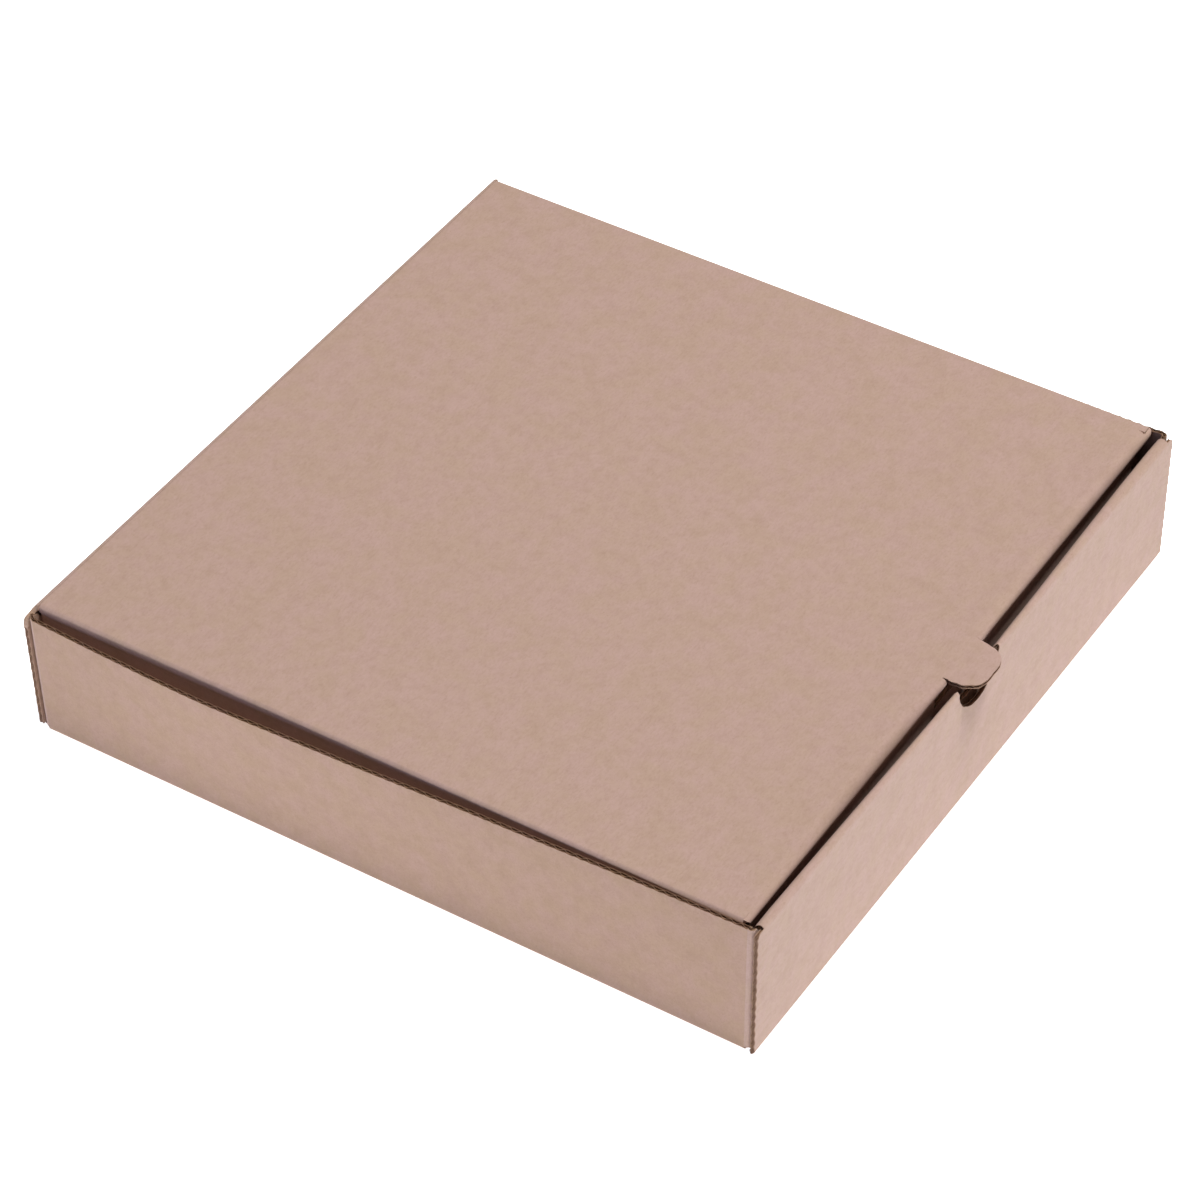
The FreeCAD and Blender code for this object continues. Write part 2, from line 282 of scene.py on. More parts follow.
@dataclass
class Sheet:
    """One panel, or run of panels, cut flat and then folded.

    Attributes:
        name: Name of the piece.
        outline: Cut line in the flat, as (down the path, across it).
        fold: Gives the place in the box of flat points at a depth from the mid-line.
        rows: Places of the lines across the path.
        columns: Places of the lines along the path.
        flutes: The coordinate that the flutes run along.
        holes: Cut lines of the holes.
        seams: Lines that join the next sheet, as (0 for down or 1 for across, place).
        shut: Stretch down the path, from and to, where the cut is pressed shut.
        crease: How strongly the board is creased at a flat point.
        lips: Surface of the liners along the cut.
        open_share: How open the cut is at a flat point, from 0 to 1.
        crushed: Whether the cut is pressed shut all round.
    """

    name: str
    outline: list[Point]
    fold: Callable[[Array, Array, Array], Array]
    rows: Sequence[float]
    columns: Sequence[float]
    flutes: Way = Way.ACROSS
    holes: list[list[Point]] = field(default_factory=list)
    seams: list[tuple[int, float]] = field(default_factory=list)
    shut: tuple[float, float] | None = None
    crease: Callable[[Array, Array], Array] | None = None
    lips: Face = Face.EDGE
    open_share: Callable[[Array, Array], Array] | None = None
    crushed: bool = False

    def count(self, flat: Array) -> Array:
        """Number of flutes up to each flat point."""
        return flat[:, 0 if self.flutes is Way.ACROSS else 1] / BOARD.pitch

    def _recess(self, flat: Array) -> Array:
        """How deep the fluted paper lies back from the cut at each flat point, as a column."""
        share = self.open_share(flat[:, 0], flat[:, 1]) if self.open_share else np.ones(len(flat))
        return (BOARD.recess * share)[:, None]

    def _dense(self, loop: list[Point]) -> list[Point]:
        """Cut line with points close enough to follow the flutes, and fewer where no cut shows."""
        over_flutes, along_flutes, pressed, joined = BOARD.pitch / 5, 2.4, 1.2, 6.0
        points = []
        for a, b in zip(loop, loop[1:] + loop[:1]):
            length = math.dist(a, b)
            over = abs(b[0] - a[0]) if self.flutes is Way.ACROSS else abs(b[1] - a[1])
            step = over_flutes if over > 0.4 * length else along_flutes
            if self._is_seam(a, b):
                step = pressed if self._is_shut(a, b) else joined
            parts = max(1, round(length / step))
            points += [(a[0] + (b[0] - a[0]) * k / parts, a[1] + (b[1] - a[1]) * k / parts)
                       for k in range(parts)]
        return points

    def _is_shut(self, a: Sequence[float], b: Sequence[float]) -> bool:
        """Whether the cut from a to b is pressed shut."""
        return self.shut is not None and self.shut[0] <= (a[0] + b[0]) / 2 <= self.shut[1]

    def _is_seam(self, a: Sequence[float], b: Sequence[float]) -> bool:
        """Whether the side from a to b shows no open cut: it joins the next sheet, or is pressed shut."""
        joins = (abs(a[axis] - place) < 1e-3 and abs(b[axis] - place) < 1e-3 for axis, place in self.seams)
        return self._is_shut(a, b) or any(joins)

    def _triangles(self) -> tuple[Array, Array]:
        """Flat points and triangles inside the cut line, each between two neighbouring rows."""
        loops = [self._dense(loop) for loop in [self.outline] + self.holes]
        points: list[Point] = []
        edges: list[tuple[int, int]] = []
        for loop in loops:
            first = len(points)
            points += loop
            edges += [(first + k, first + (k + 1) % len(loop)) for k in range(len(loop))]
        low, high = np.min(points, axis=0) - 2, np.max(points, axis=0) + 2
        for row in self.rows:
            edges.append((len(points), len(points) + 1))
            points += [(row, low[1]), (row, high[1])]
        for column in self.columns:
            edges.append((len(points), len(points) + 1))
            points += [(low[0], column), (high[0], column)]
        made = delaunay_2d_cdt([Vector(p) for p in points], edges, [], 0, 1e-4)
        flat, faces = np.array([tuple(v) for v in made[0]]), np.array(made[2])
        faces = faces[self._inside(flat[faces].mean(axis=1), loops)]
        a, b, c = flat[faces[:, 0]], flat[faces[:, 1]], flat[faces[:, 2]]
        area = (b[:, 0] - a[:, 0]) * (c[:, 1] - a[:, 1]) - (b[:, 1] - a[:, 1]) * (c[:, 0] - a[:, 0])
        faces = faces[np.abs(area) > 1e-9]
        area = area[np.abs(area) > 1e-9]
        faces[area < 0] = faces[area < 0][:, ::-1]
        used, faces = np.unique(faces, return_inverse=True)
        return flat[used], faces.reshape(-1, 3)

    @staticmethod
    def _inside(spots: Array, loops: list[list[Point]]) -> Array:
        """Whether each spot is within the outline and clear of the holes."""
        inside = np.zeros(len(spots), bool)
        for loop in loops:
            a = np.array(loop)
            b = np.roll(a, -1, axis=0)
            for (x0, y0), (x1, y1) in zip(a, b):
                if y0 != y1:
                    crosses = (y0 > spots[:, 1]) != (y1 > spots[:, 1])
                    inside ^= crosses & (spots[:, 0] < (x1 - x0) * (spots[:, 1] - y0) / (y1 - y0) + x0)
        return inside

    @staticmethod
    def _rims(faces: Array) -> list[list[int]]:
        """Closed loops of the edges that one triangle only has, with the sheet on their left."""
        sides = {(int(a), int(b)) for f in faces for a, b in zip(f, np.roll(f, -1))}
        onward = {a: b for a, b in sides if (b, a) not in sides}
        loops = []
        while onward:
            first, here = onward.popitem()
            loop = [first]
            while here != first and here in onward:
                loop.append(here)
                here = onward.pop(here)
            if here == first and len(loop) > 2:
                loops.append(loop)
        return loops

    def _insets(self, flat: Array, loop: list[int]) -> tuple[Array, Array]:
        """Inward vector at each point of a rim, and whether the side that starts there is a seam."""
        here = flat[loop]
        ahead = np.roll(here, -1, axis=0) - here
        size = np.maximum(np.hypot(ahead[:, 0], ahead[:, 1]), 1e-9)
        inward = np.stack([-ahead[:, 1], ahead[:, 0]], axis=1) / size[:, None]
        seam = np.array([self._is_seam(a, b) for a, b in zip(here, np.roll(here, -1, axis=0))])
        inward[seam] = 0.0
        before = np.roll(inward, 1, axis=0)
        both = inward + before
        dot = (inward * before).sum(axis=1)
        mitre = both / np.maximum(1.0 + dot, 0.55)[:, None]
        return mitre, seam

    def build(self, strip: Strip) -> bpy.types.Object:
        """Makes the piece, and adds its cut edges to the strip of fluted paper.

        Args:
            strip: Lines where the fluted paper shows, for the body that the piece rides on.

        Returns:
            The new object, at the origin.
        """
        flat, faces = self._triangles()
        total = len(flat)
        turns = self.count(flat) * 2 * math.pi
        half = BOARD.half * (1 - BOARD.pinch * self._creased(flat))
        rims = self._rims(faces)
        cut = self._roughen(flat, rims, turns)
        upper = half - cut * BOARD.sag * (0.5 - 0.5 * np.sin(turns))
        lower = -half + cut * BOARD.sag * (0.5 + 0.5 * np.sin(turns))
        places = [self.fold(flat[:, 0], flat[:, 1], upper), self.fold(flat[:, 0], flat[:, 1], lower)]
        flutes = [self.count(flat), self.count(flat)]
        skins = [(int(a), int(b), int(c)) for a, b, c in faces]
        quads: list[tuple[int, ...]] = skins + [(c + total, b + total, a + total) for a, b, c in skins]
        kinds = [Face.OUTER.value] * len(skins) + [Face.INNER.value] * len(skins)
        base = 2 * total
        for loop in rims:
            inset, seam = self._insets(flat, loop)
            rings = [loop, [v + total for v in loop]]
            if not self.crushed:
                here = flat[loop]
                bottom = here + inset * self._recess(here)
                inner, outer = lower[loop] + BOARD.liner, upper[loop] - BOARD.liner
                for spot, depth in ((here, outer), (bottom, outer), (bottom, inner), (here, inner)):
                    places.append(self.fold(spot[:, 0], spot[:, 1], depth))
                    flutes.append(self.count(spot))
                    rings.insert(-1, list(range(base, base + len(loop))))
                    base += len(loop)
                self._add_flutes(strip, here, inset, seam)
            self._close(rings, seam, quads, kinds)
        spots = np.concatenate(places) * MM
        a, b, c = spots[faces[:, 0]], spots[faces[:, 1]], spots[faces[:, 2]]
        through = spots[faces[:, 0]] - spots[faces[:, 0] + total]
        if (np.cross(b - a, c - a) * through).sum() < 0:
            quads = [q[::-1] for q in quads]
        return self._piece(spots, quads, kinds, np.concatenate(flutes))

    def _creased(self, flat: Array) -> Array:
        """How strongly the board is creased at each flat point."""
        return self.crease(flat[:, 0], flat[:, 1]) if self.crease else np.zeros(len(flat))

    def _roughen(self, flat: Array, rims: list[list[int]], turns: Array) -> Array:
        """Lets the bare cuts wander in from their lines, as a worn die leaves them.

        Args:
            flat: Flat points, which are moved.
            rims: Loops of the points on the cut lines.
            turns: Phase of the flutes at each point.

        Returns:
            1 at each point of a bare cut, and 0 elsewhere.
        """
        cut = np.zeros(len(flat))
        for loop in rims:
            inset, seam = self._insets(flat, loop)
            bare = ~(seam | np.roll(seam, 1))
            cut[loop] = bare
            uneven = wander(flat[loop, 0] * 2.3, flat[loop, 1] * 2.3)
            rough = BOARD.ragged * (0.5 - 0.5 * np.cos(turns[loop] + 0.8) + 0.6 * uneven)
            flat[loop] = flat[loop] + inset * (np.maximum(rough, 0) * bare)[:, None]
        return cut

    def _close(self, rings: list[list[int]], seam: Array, quads: list, kinds: list) -> None:
        """Adds the faces between the rings of a rim: liner, hollow in painted shade, and liner again.

        Args:
            rings: Rings of points from the outer liner's face to the inner liner's face.
            seam: Whether the side that starts at each point is a seam.
            quads: Faces of the piece, which grow.
            kinds: Material slot of each face, which grow too.
        """
        count, last = len(rings[0]), len(rings) - 2
        for i in range(count):
            j = (i + 1) % count
            if seam[i] or self.crushed:
                quads.append((rings[0][j], rings[0][i], rings[-1][i], rings[-1][j]))
                kinds.append(Face.INNER.value)
                continue
            for r in range(last + 1):
                quads.append((rings[r][j], rings[r][i], rings[r + 1][i], rings[r + 1][j]))
                kinds.append(self.lips.value if r in (0, last) else Face.PAINTED_HOLLOW_SHADE.value)

    def _piece(self, spots: Array, quads: list, kinds: list, flutes: Array) -> bpy.types.Object:
        """The sheet as an object, with its flute count kept for the paper's ridges."""
        mesh = bpy.data.meshes.new(self.name)
        mesh.from_pydata(spots.tolist(), [], quads)
        mesh.polygons.foreach_set("material_index", kinds)
        count = mesh.attributes.new("flute", "FLOAT", "POINT")
        count.data.foreach_set("value", flutes.astype(np.float32))
        mesh.shade_smooth()
        mesh.set_sharp_from_angle(angle=math.radians(38))
        piece = bpy.data.objects.new(self.name, mesh)
        bpy.context.scene.collection.objects.link(piece)
        log.info("%s: %d faces", self.name, len(quads))
        return piece

    def _add_flutes(self, strip: Strip, here: Array, inset: Array, seam: Array) -> None:
        """Adds the fluted paper along a rim, in steps that follow its waves."""
        k = len(here)
        spots, ways, runs = [], [], []
        for i in range(k):
            if seam[i]:
                runs.append(len(spots))
                continue
            j = (i + 1) % k
            length = math.dist(here[i], here[j])
            over = abs(self.count(here[[j]]) - self.count(here[[i]]))[0] * BOARD.pitch
            steps = over / (BOARD.pitch / 9) if over < 0.3 * length else length / (BOARD.pitch / 8)
            parts = max(1, math.ceil(steps))
            for p in range(parts):
                share = p / parts
                spots.append(here[i] * (1 - share) + here[j] * share)
                ways.append(inset[i] * (1 - share) + inset[j] * share)
            if seam[j] or j == 0:
                spots.append(here[j])
                ways.append(inset[j])
                runs.append(len(spots))
        if len(spots) < 2:
            return
        spot, way = np.array(spots), np.array(ways)
        near, far = spot + way * 0.05, spot + way * (self._recess(spot) - 0.04)
        strip.front.append(self._through(near))
        strip.back.append(self._through(far))
        first, cut = strip.count, set(runs)
        strip.faces += [(first + i, first + i + 1) for i in range(len(spots) - 1) if i + 1 not in cut]
        strip.count += len(spots)

    def _through(self, flat: Array) -> tuple[Array, Array, Array]:
        """Place, direction through the board and flute count of points on its middle."""
        s, x, middle = flat[:, 0], flat[:, 1], np.zeros(len(flat))
        up = self.fold(s, x, middle + 0.5) - self.fold(s, x, middle - 0.5)
        squeeze = 1 - 1.6 * BOARD.pinch * self._creased(flat)
        return self.fold(s, x, middle) * MM, up * squeeze[:, None], self.count(flat)


@dataclass(frozen=True)
class Kraft:
    """Finish of one paper of the board, or of the painted shade inside its cuts.

    Attributes:
        name: Name of the material.
        colour: Base colour, as the eight-bit values that a screen shows.
        fleck: Colour of the darker fibres, in the same values.
        mottle: How much the fibres show, from 0 to 1.
        roughness: Roughness of the paper.
        wash: Height of the ridges over the flutes, in millimetres.
        grain: Height of the fibre grain, in millimetres.
    """

    name: str
    colour: tuple[int, int, int]
    fleck: tuple[int, int, int]
    mottle: float = 0.5
    roughness: float = 0.88
    wash: float = 0.012
    grain: float = 0.02


@dataclass(frozen=True)
class Grain:
    """Marks in the paper: how many lie along a metre, and how strongly they show.

    Attributes:
        clouds: Wide clouds that turn the colour warmer.
        blots: Blots a few millimetres wide.
        blot_level: Where the noise starts to count as a blot.
        blot_strength: How much darker a blot is.
        fibres: Drawn-out fibres, in each direction.
        fibre_turn: Turn of the fibres, in degrees.
        fibre_level: Where the noise starts to count as a fibre.
        flecks: Cells that hold one dark fleck each.
        fleck_size: Size of a fleck, as a share of its cell.
        fleck_strength: How much darker a fleck is.
        speckle: Finest light specks.
        light: How much lighter the specks are, in eight-bit steps.
    """

    clouds: float = 120.0
    blots: float = 260.0
    blot_level: float = 0.42
    blot_strength: float = 0.6
    fibres: Place = (700.0, 1700.0, 1700.0)
    fibre_turn: float = 4.0
    fibre_level: float = 0.45
    flecks: float = 420.0
    fleck_size: float = 0.085
    fleck_strength: float = 0.25
    speckle: float = 950.0
    light: int = 16


GRAIN = Grain()
OUTER_LINER = Kraft("kraft_outer", (190, 160, 149), (158, 126, 108), mottle=1.0)
INNER_LINER = Kraft("kraft_inner", (184, 152, 134), (150, 118, 98), mottle=1.0, roughness=0.92)
CUT_EDGE = Kraft("kraft_cut_edge", (164, 131, 111), (124, 93, 74), mottle=0.9, roughness=0.95, wash=0.0,
                 grain=0.05)
# Painted shade: a darker kraft that stands in for the shadow inside the open cuts and along the side walls'
# top edges
PAINTED_HOLLOW_SHADE = Kraft("kraft_hollow_painted_shade", (118, 87, 68), (88, 62, 47), mottle=0.4, roughness=0.97, wash=0.0)
MEDIUM = Kraft("kraft_medium", (146, 113, 93), (112, 83, 65), mottle=0.7, roughness=0.95, wash=0.0,
               grain=0.04)


def linear(colour: Sequence[int]) -> tuple[float, float, float, float]:
    """Scene colour for eight-bit screen values."""
    parts = [c / 255 for c in colour]
    r, g, b = [c / 12.92 if c <= 0.04045 else ((c + 0.055) / 1.055) ** 2.4 for c in parts]
    return r, g, b, 1.0


class Nodes:
    """Short way to place and join the nodes of a tree."""

    def __init__(self, tree: bpy.types.NodeTree) -> None:
        self.tree = tree
        self._count = 0

    def add(self, kind: str, inputs: dict | None = None, **settings) -> bpy.types.Node:
        """Adds a node.

        Args:
            kind: Blender's name of the node type.
            inputs: Value or output socket for each input, by name or number.
            **settings: Properties of the node.
        """
        node = self.tree.nodes.new(kind)
        node.location = (180 * (self._count % 12), -260 * (self._count // 12))
        self._count += 1
        for name, value in settings.items():
            setattr(node, name, value)
        for name, value in (inputs or {}).items():
            if isinstance(value, bpy.types.NodeSocket):
                self.tree.links.new(value, node.inputs[name])
            else:
                node.inputs[name].default_value = value
        return node

    def math(self, operation: str, a, b=0.0) -> bpy.types.NodeSocket:
        """Result of one sum on numbers or output sockets."""
        return self.add("ShaderNodeMath", {0: a, 1: b}, operation=operation).outputs[0]

    def noise(self, place: bpy.types.NodeSocket, scale: float, detail: float, roughness: float,
              distortion: float = 0.0) -> bpy.types.NodeSocket:
        """Value of a noise at a place."""
        return self.add("ShaderNodeTexNoise", {
            "Vector": place, "Scale": scale, "Detail": detail, "Roughness": roughness,
            "Distortion": distortion}).outputs["Fac"]

    def blend(self, factor: bpy.types.NodeSocket, low, high) -> bpy.types.NodeSocket:
        """Colour between two, with the factor held between 0 and 1."""
        return self.add("ShaderNodeMix", {"Factor": factor, 6: low, 7: high}, data_type="RGBA",
                        clamp_factor=True).outputs[2]


class Paper:
    """Builds the paper materials, each one once."""

    def __init__(self) -> None:
        self._made: dict[str, bpy.types.Material] = {}

    def material(self, finish: Kraft) -> bpy.types.Material:
        """Material of a finish: its colour with marks in it, and a bump of grain and flutes."""
        if finish.name in self._made:
            return self._made[finish.name]
        made = bpy.data.materials.new(finish.name)
        made.use_nodes = True
        made.node_tree.nodes.clear()
        nodes = Nodes(made.node_tree)
        place = nodes.add("ShaderNodeTexCoord").outputs["Object"]
        speckle = nodes.noise(place, GRAIN.speckle, 5.0, 0.7)
        drawn = nodes.add("ShaderNodeMapping", {
            "Vector": place, "Scale": GRAIN.fibres,
            "Rotation": (0.0, 0.0, math.radians(GRAIN.fibre_turn))}).outputs["Vector"]
        fibres = nodes.noise(drawn, 1.0, 3.0, 0.65, 0.6)
        rough = nodes.math("ADD", finish.roughness - 0.04, nodes.math("MULTIPLY", fibres, 0.08))
        height = self._height(nodes, finish, nodes.math("ADD", fibres, speckle))
        bump = nodes.add("ShaderNodeBump", {"Height": height, "Strength": 1.0, "Distance": MM}).outputs[0]
        shader = nodes.add("ShaderNodeBsdfPrincipled", {
            "Base Color": self._colour(nodes, finish, place, fibres, speckle), "Roughness": rough,
            "Normal": bump, "Specular IOR Level": 0.25, "Sheen Weight": 0.08, "Sheen Roughness": 0.6})
        nodes.add("ShaderNodeOutputMaterial", {"Surface": shader.outputs[0]})
        self._made[finish.name] = made
        return made

    @staticmethod
    def _colour(nodes: Nodes, finish: Kraft, place: bpy.types.NodeSocket, fibres: bpy.types.NodeSocket,
                speckle: bpy.types.NodeSocket) -> bpy.types.NodeSocket:
        """Colour of the paper, from its clouds down to its specks.

        Args:
            nodes: Tree of the material.
            finish: What the paper looks like.
            place: Object coordinates.
            fibres: Noise of the fibres.
            speckle: Noise of the finest specks.
        """
        red, green, blue = finish.colour
        clouds = nodes.noise(place, GRAIN.clouds, 6.0, 0.6)
        warm = nodes.add("ShaderNodeMapRange",
                         {"Value": clouds, "From Min": 0.38, "From Max": 0.62}).outputs[0]
        base = nodes.blend(warm, linear((red + 1, green, blue + 1)), linear((red - 2, green - 1, blue - 6)))
        dark = linear(finish.fleck)
        drawn_in = nodes.math("SUBTRACT", fibres, GRAIN.fibre_level)
        fibrous = nodes.blend(nodes.math("MULTIPLY", drawn_in, finish.mottle), base, dark)
        fine = nodes.math("MULTIPLY", nodes.math("SUBTRACT", speckle, 0.5), finish.mottle)
        lit = nodes.blend(fine, fibrous, linear([min(255, c + GRAIN.light) for c in finish.colour]))
        above = nodes.math("SUBTRACT", nodes.noise(place, GRAIN.blots, 2.0, 0.6), GRAIN.blot_level)
        blotted = nodes.blend(nodes.math("MULTIPLY", above, GRAIN.blot_strength * finish.mottle), lit, dark)
        cells = nodes.add("ShaderNodeTexVoronoi", {"Vector": place, "Scale": GRAIN.flecks})
        flecks = nodes.math("LESS_THAN", cells.outputs["Distance"], GRAIN.fleck_size)
        strength = nodes.math("MULTIPLY", flecks, GRAIN.fleck_strength * finish.mottle)
        return nodes.blend(strength, blotted, dark)

    @staticmethod
    def _height(nodes: Nodes, finish: Kraft, fine: bpy.types.NodeSocket) -> bpy.types.NodeSocket:
        """Height of the surface in millimetres: its grain, and a low ridge over each flute."""
        height = nodes.math("MULTIPLY", fine, finish.grain)
        if finish.wash:
            flute = nodes.add("ShaderNodeAttribute", attribute_name="flute").outputs["Fac"]
            wave = nodes.math("SINE", nodes.math("MULTIPLY", flute, 2 * math.pi))
            height = nodes.math("ADD", height, nodes.math("MULTIPLY", wave, finish.wash))
        return height


class FluteTree:
    """Geometry Nodes tree that turns strips along the cut edges into fluted paper."""

    def __init__(self, paper: Paper, seed: int = 11) -> None:
        """Builds the tree.

        Args:
            paper: Where the fluted paper's material comes from.
            seed: Seed of the unevenness of the waves.
        """
        self.seed = seed
        self.tree = bpy.data.node_groups.new("fluted_medium", "GeometryNodeTree")
        face = self.tree.interface
        face.new_socket("Strips", in_out="INPUT", socket_type="NodeSocketGeometry")
        self.inputs = {name: face.new_socket(name, in_out="INPUT", socket_type=kind).identifier
                       for name, kind in (("Wave height", "NodeSocketFloat"),
                                          ("Paper thickness", "NodeSocketFloat"),
                                          ("Unevenness", "NodeSocketFloat"), ("Seed", "NodeSocketInt"))}
        face.new_socket("Fluted paper", in_out="OUTPUT", socket_type="NodeSocketGeometry")
        nodes = Nodes(self.tree)
        given = nodes.add("NodeGroupInput").outputs
        turns = nodes.add("GeometryNodeInputNamedAttribute", {"Name": "flute"}, data_type="FLOAT").outputs[0]
        rise = nodes.add("GeometryNodeInputNamedAttribute", {"Name": "rise"},
                         data_type="FLOAT_VECTOR").outputs[0]
        wave = nodes.math("SINE", nodes.math("MULTIPLY", turns, 2 * math.pi))
        height = nodes.math("MULTIPLY", wave, given["Wave height"])
        spread = nodes.add("FunctionNodeRandomValue", {"Seed": given["Seed"]}, data_type="FLOAT")
        low, high = spread.inputs[2], spread.inputs[3]
        low.default_value, high.default_value = -1.0, 1.0
        uneven = nodes.math("MULTIPLY", spread.outputs[1], given["Unevenness"])
        lift = nodes.add("ShaderNodeVectorMath", {0: rise, "Scale": nodes.math("ADD", height, uneven)},
                         operation="SCALE").outputs[0]
        waved = nodes.add("GeometryNodeSetPosition",
                          {"Geometry": given["Strips"], "Offset": lift}).outputs[0]
        push = nodes.add("ShaderNodeVectorMath", {0: rise, "Scale": given["Paper thickness"]},
                         operation="SCALE").outputs[0]
        thick = nodes.add("GeometryNodeExtrudeMesh", {"Mesh": waved, "Offset": push, "Individual": False},
                          mode="FACES").outputs[0]
        under = nodes.add("GeometryNodeFlipFaces", {"Mesh": waved}).outputs[0]
        join = nodes.add("GeometryNodeJoinGeometry")
        self.tree.links.new(thick, join.inputs[0])
        self.tree.links.new(under, join.inputs[0])
        closed = nodes.add("GeometryNodeMergeByDistance", {"Geometry": join.outputs[0],
                                                           "Distance": 1e-6}).outputs[0]
        real = nodes.add("GeometryNodeRealizeInstances", {"Geometry": closed}).outputs[0]
        coloured = nodes.add("GeometryNodeSetMaterial", {"Geometry": real,
                                                         "Material": paper.material(MEDIUM)}).outputs[0]
        nodes.add("NodeGroupOutput", {0: coloured})

    def fill(self, name: str, strip: Strip) -> bpy.types.Object:
        """Fluted paper for all the cut edges of one body.

        Args:
            name: Name of the piece.
            strip: Lines along the cut edges.

        Returns:
            The piece as a plain mesh.
        """
        count = strip.count
        spots, rise, flute = (np.concatenate(parts) for parts in zip(*strip.front, *strip.back))
        spots = spots - rise * BOARD.medium * MM / 2
        quads = []
        for i, j in strip.faces:
            across = np.cross(spots[j] - spots[i], spots[i + count] - spots[i])
            quad = (i, j, j + count, i + count)
            quads.append(quad if across @ rise[i] > 0 else quad[::-1])
        mesh = bpy.data.meshes.new(name + "_strips")
        mesh.from_pydata(spots.tolist(), [], quads)
        rises = mesh.attributes.new("rise", "FLOAT_VECTOR", "POINT")
        rises.data.foreach_set("vector", rise.astype(np.float32).ravel())
        flutes = mesh.attributes.new("flute", "FLOAT", "POINT")
        flutes.data.foreach_set("value", flute.astype(np.float32))
        piece = bpy.data.objects.new(name, mesh)
        bpy.context.scene.collection.objects.link(piece)
        modifier = piece.modifiers.new("fluted_medium", "NODES")
        modifier.node_group = self.tree
        modifier[self.inputs["Wave height"]] = BOARD.wave * MM
        modifier[self.inputs["Paper thickness"]] = BOARD.medium * MM
        modifier[self.inputs["Unevenness"]] = 0.015 * MM
        modifier[self.inputs["Seed"]] = self.seed
        bpy.context.view_layer.update()
        graph = bpy.context.evaluated_depsgraph_get()
        piece.data = bpy.data.meshes.new_from_object(piece.evaluated_get(graph))
        piece.modifiers.clear()
        piece.data.name = name
        piece.data.shade_smooth()
        piece.data.set_sharp_from_angle(angle=math.radians(50))
        log.info("%s: %d faces", name, len(piece.data.polygons))
        return piece


def mirrored(side: int, end: int, spots: tuple[Array, Array, Array]) -> Array:
    """Points in the box from ones drawn in its right rear quarter."""
    return np.stack([side * spots[0], end * spots[1], spots[2]], axis=1)


@dataclass(frozen=True)
class BoxSize:
    """Outside of the closed box, and how far its layers lie apart.

    Attributes:
        width: Over the side walls.
        depth: Over the front and back walls.
        height: Up to the top of the lid.
        layer_gap: Gap between two layers of board that lie together.
        clearance: Gap between the floor and a panel that stands on it.
        fold: Mid-line radius of a plain fold.
        strip_width: Width of the front wall's top strip before it is pressed together.
    """

    width: float = 234.0
    depth: float = 234.0
    height: float = 46.5
    layer_gap: float = 0.1
    clearance: float = 0.2
    fold: float = 1.0
    strip_width: float = 3.2

    @property
    def wall_x(self) -> float:
        """Middle of the board of an upright side wall."""
        return self.width / 2 - BOARD.half

    @property
    def wall_y(self) -> float:
        """Middle of the board of the front and back walls."""
        return self.depth / 2 - BOARD.half

    @property
    def lid_z(self) -> float:
        """Middle of the board of the lid's panel."""
        return self.height - BOARD.half

    @property
    def fold_outer(self) -> float:
        """Outside radius of a fold."""
        return self.fold + BOARD.half

    @property
    def layer(self) -> float:
        """Thickness of one layer with its gap."""
        return BOARD.thickness + self.layer_gap

    @property
    def side_end(self) -> float:
        """Y where a side wall ends and its corner flap folds in."""
        return self.depth / 2 - self.layer - self.fold_outer


@dataclass(frozen=True)
class HingeSize:
    """Soft crease between the back wall and the lid.

    Attributes:
        down: How far it rounds the back wall, from the top.
        inward: How far it rounds the lid, from the back.
        still_below: Depth under the lid's middle up to which it moves with the tray.
        turn_in: How far in from the back wall it moves wholly with the lid.
        turn_up: How far over the lid's middle it moves wholly with the lid.
    """

    down: float = 7.0
    inward: float = 3.0
    # still_below: Depth under the lid's middle; not used.
    still_below: float = 3.4
    # turn_in: How far in from the back wall; not used.
    turn_in: float = 1.2
    # turn_up: How far over the lid's middle; not used.
    turn_up: float = 0.2

    def wall_z(self, box: BoxSize) -> float:
        """Height where the back wall passes into the crease."""
        return box.height - self.down

    def lid_y(self, box: BoxSize) -> float:
        """Y where the lid's panel passes into the crease."""
        return box.depth / 2 - self.inward


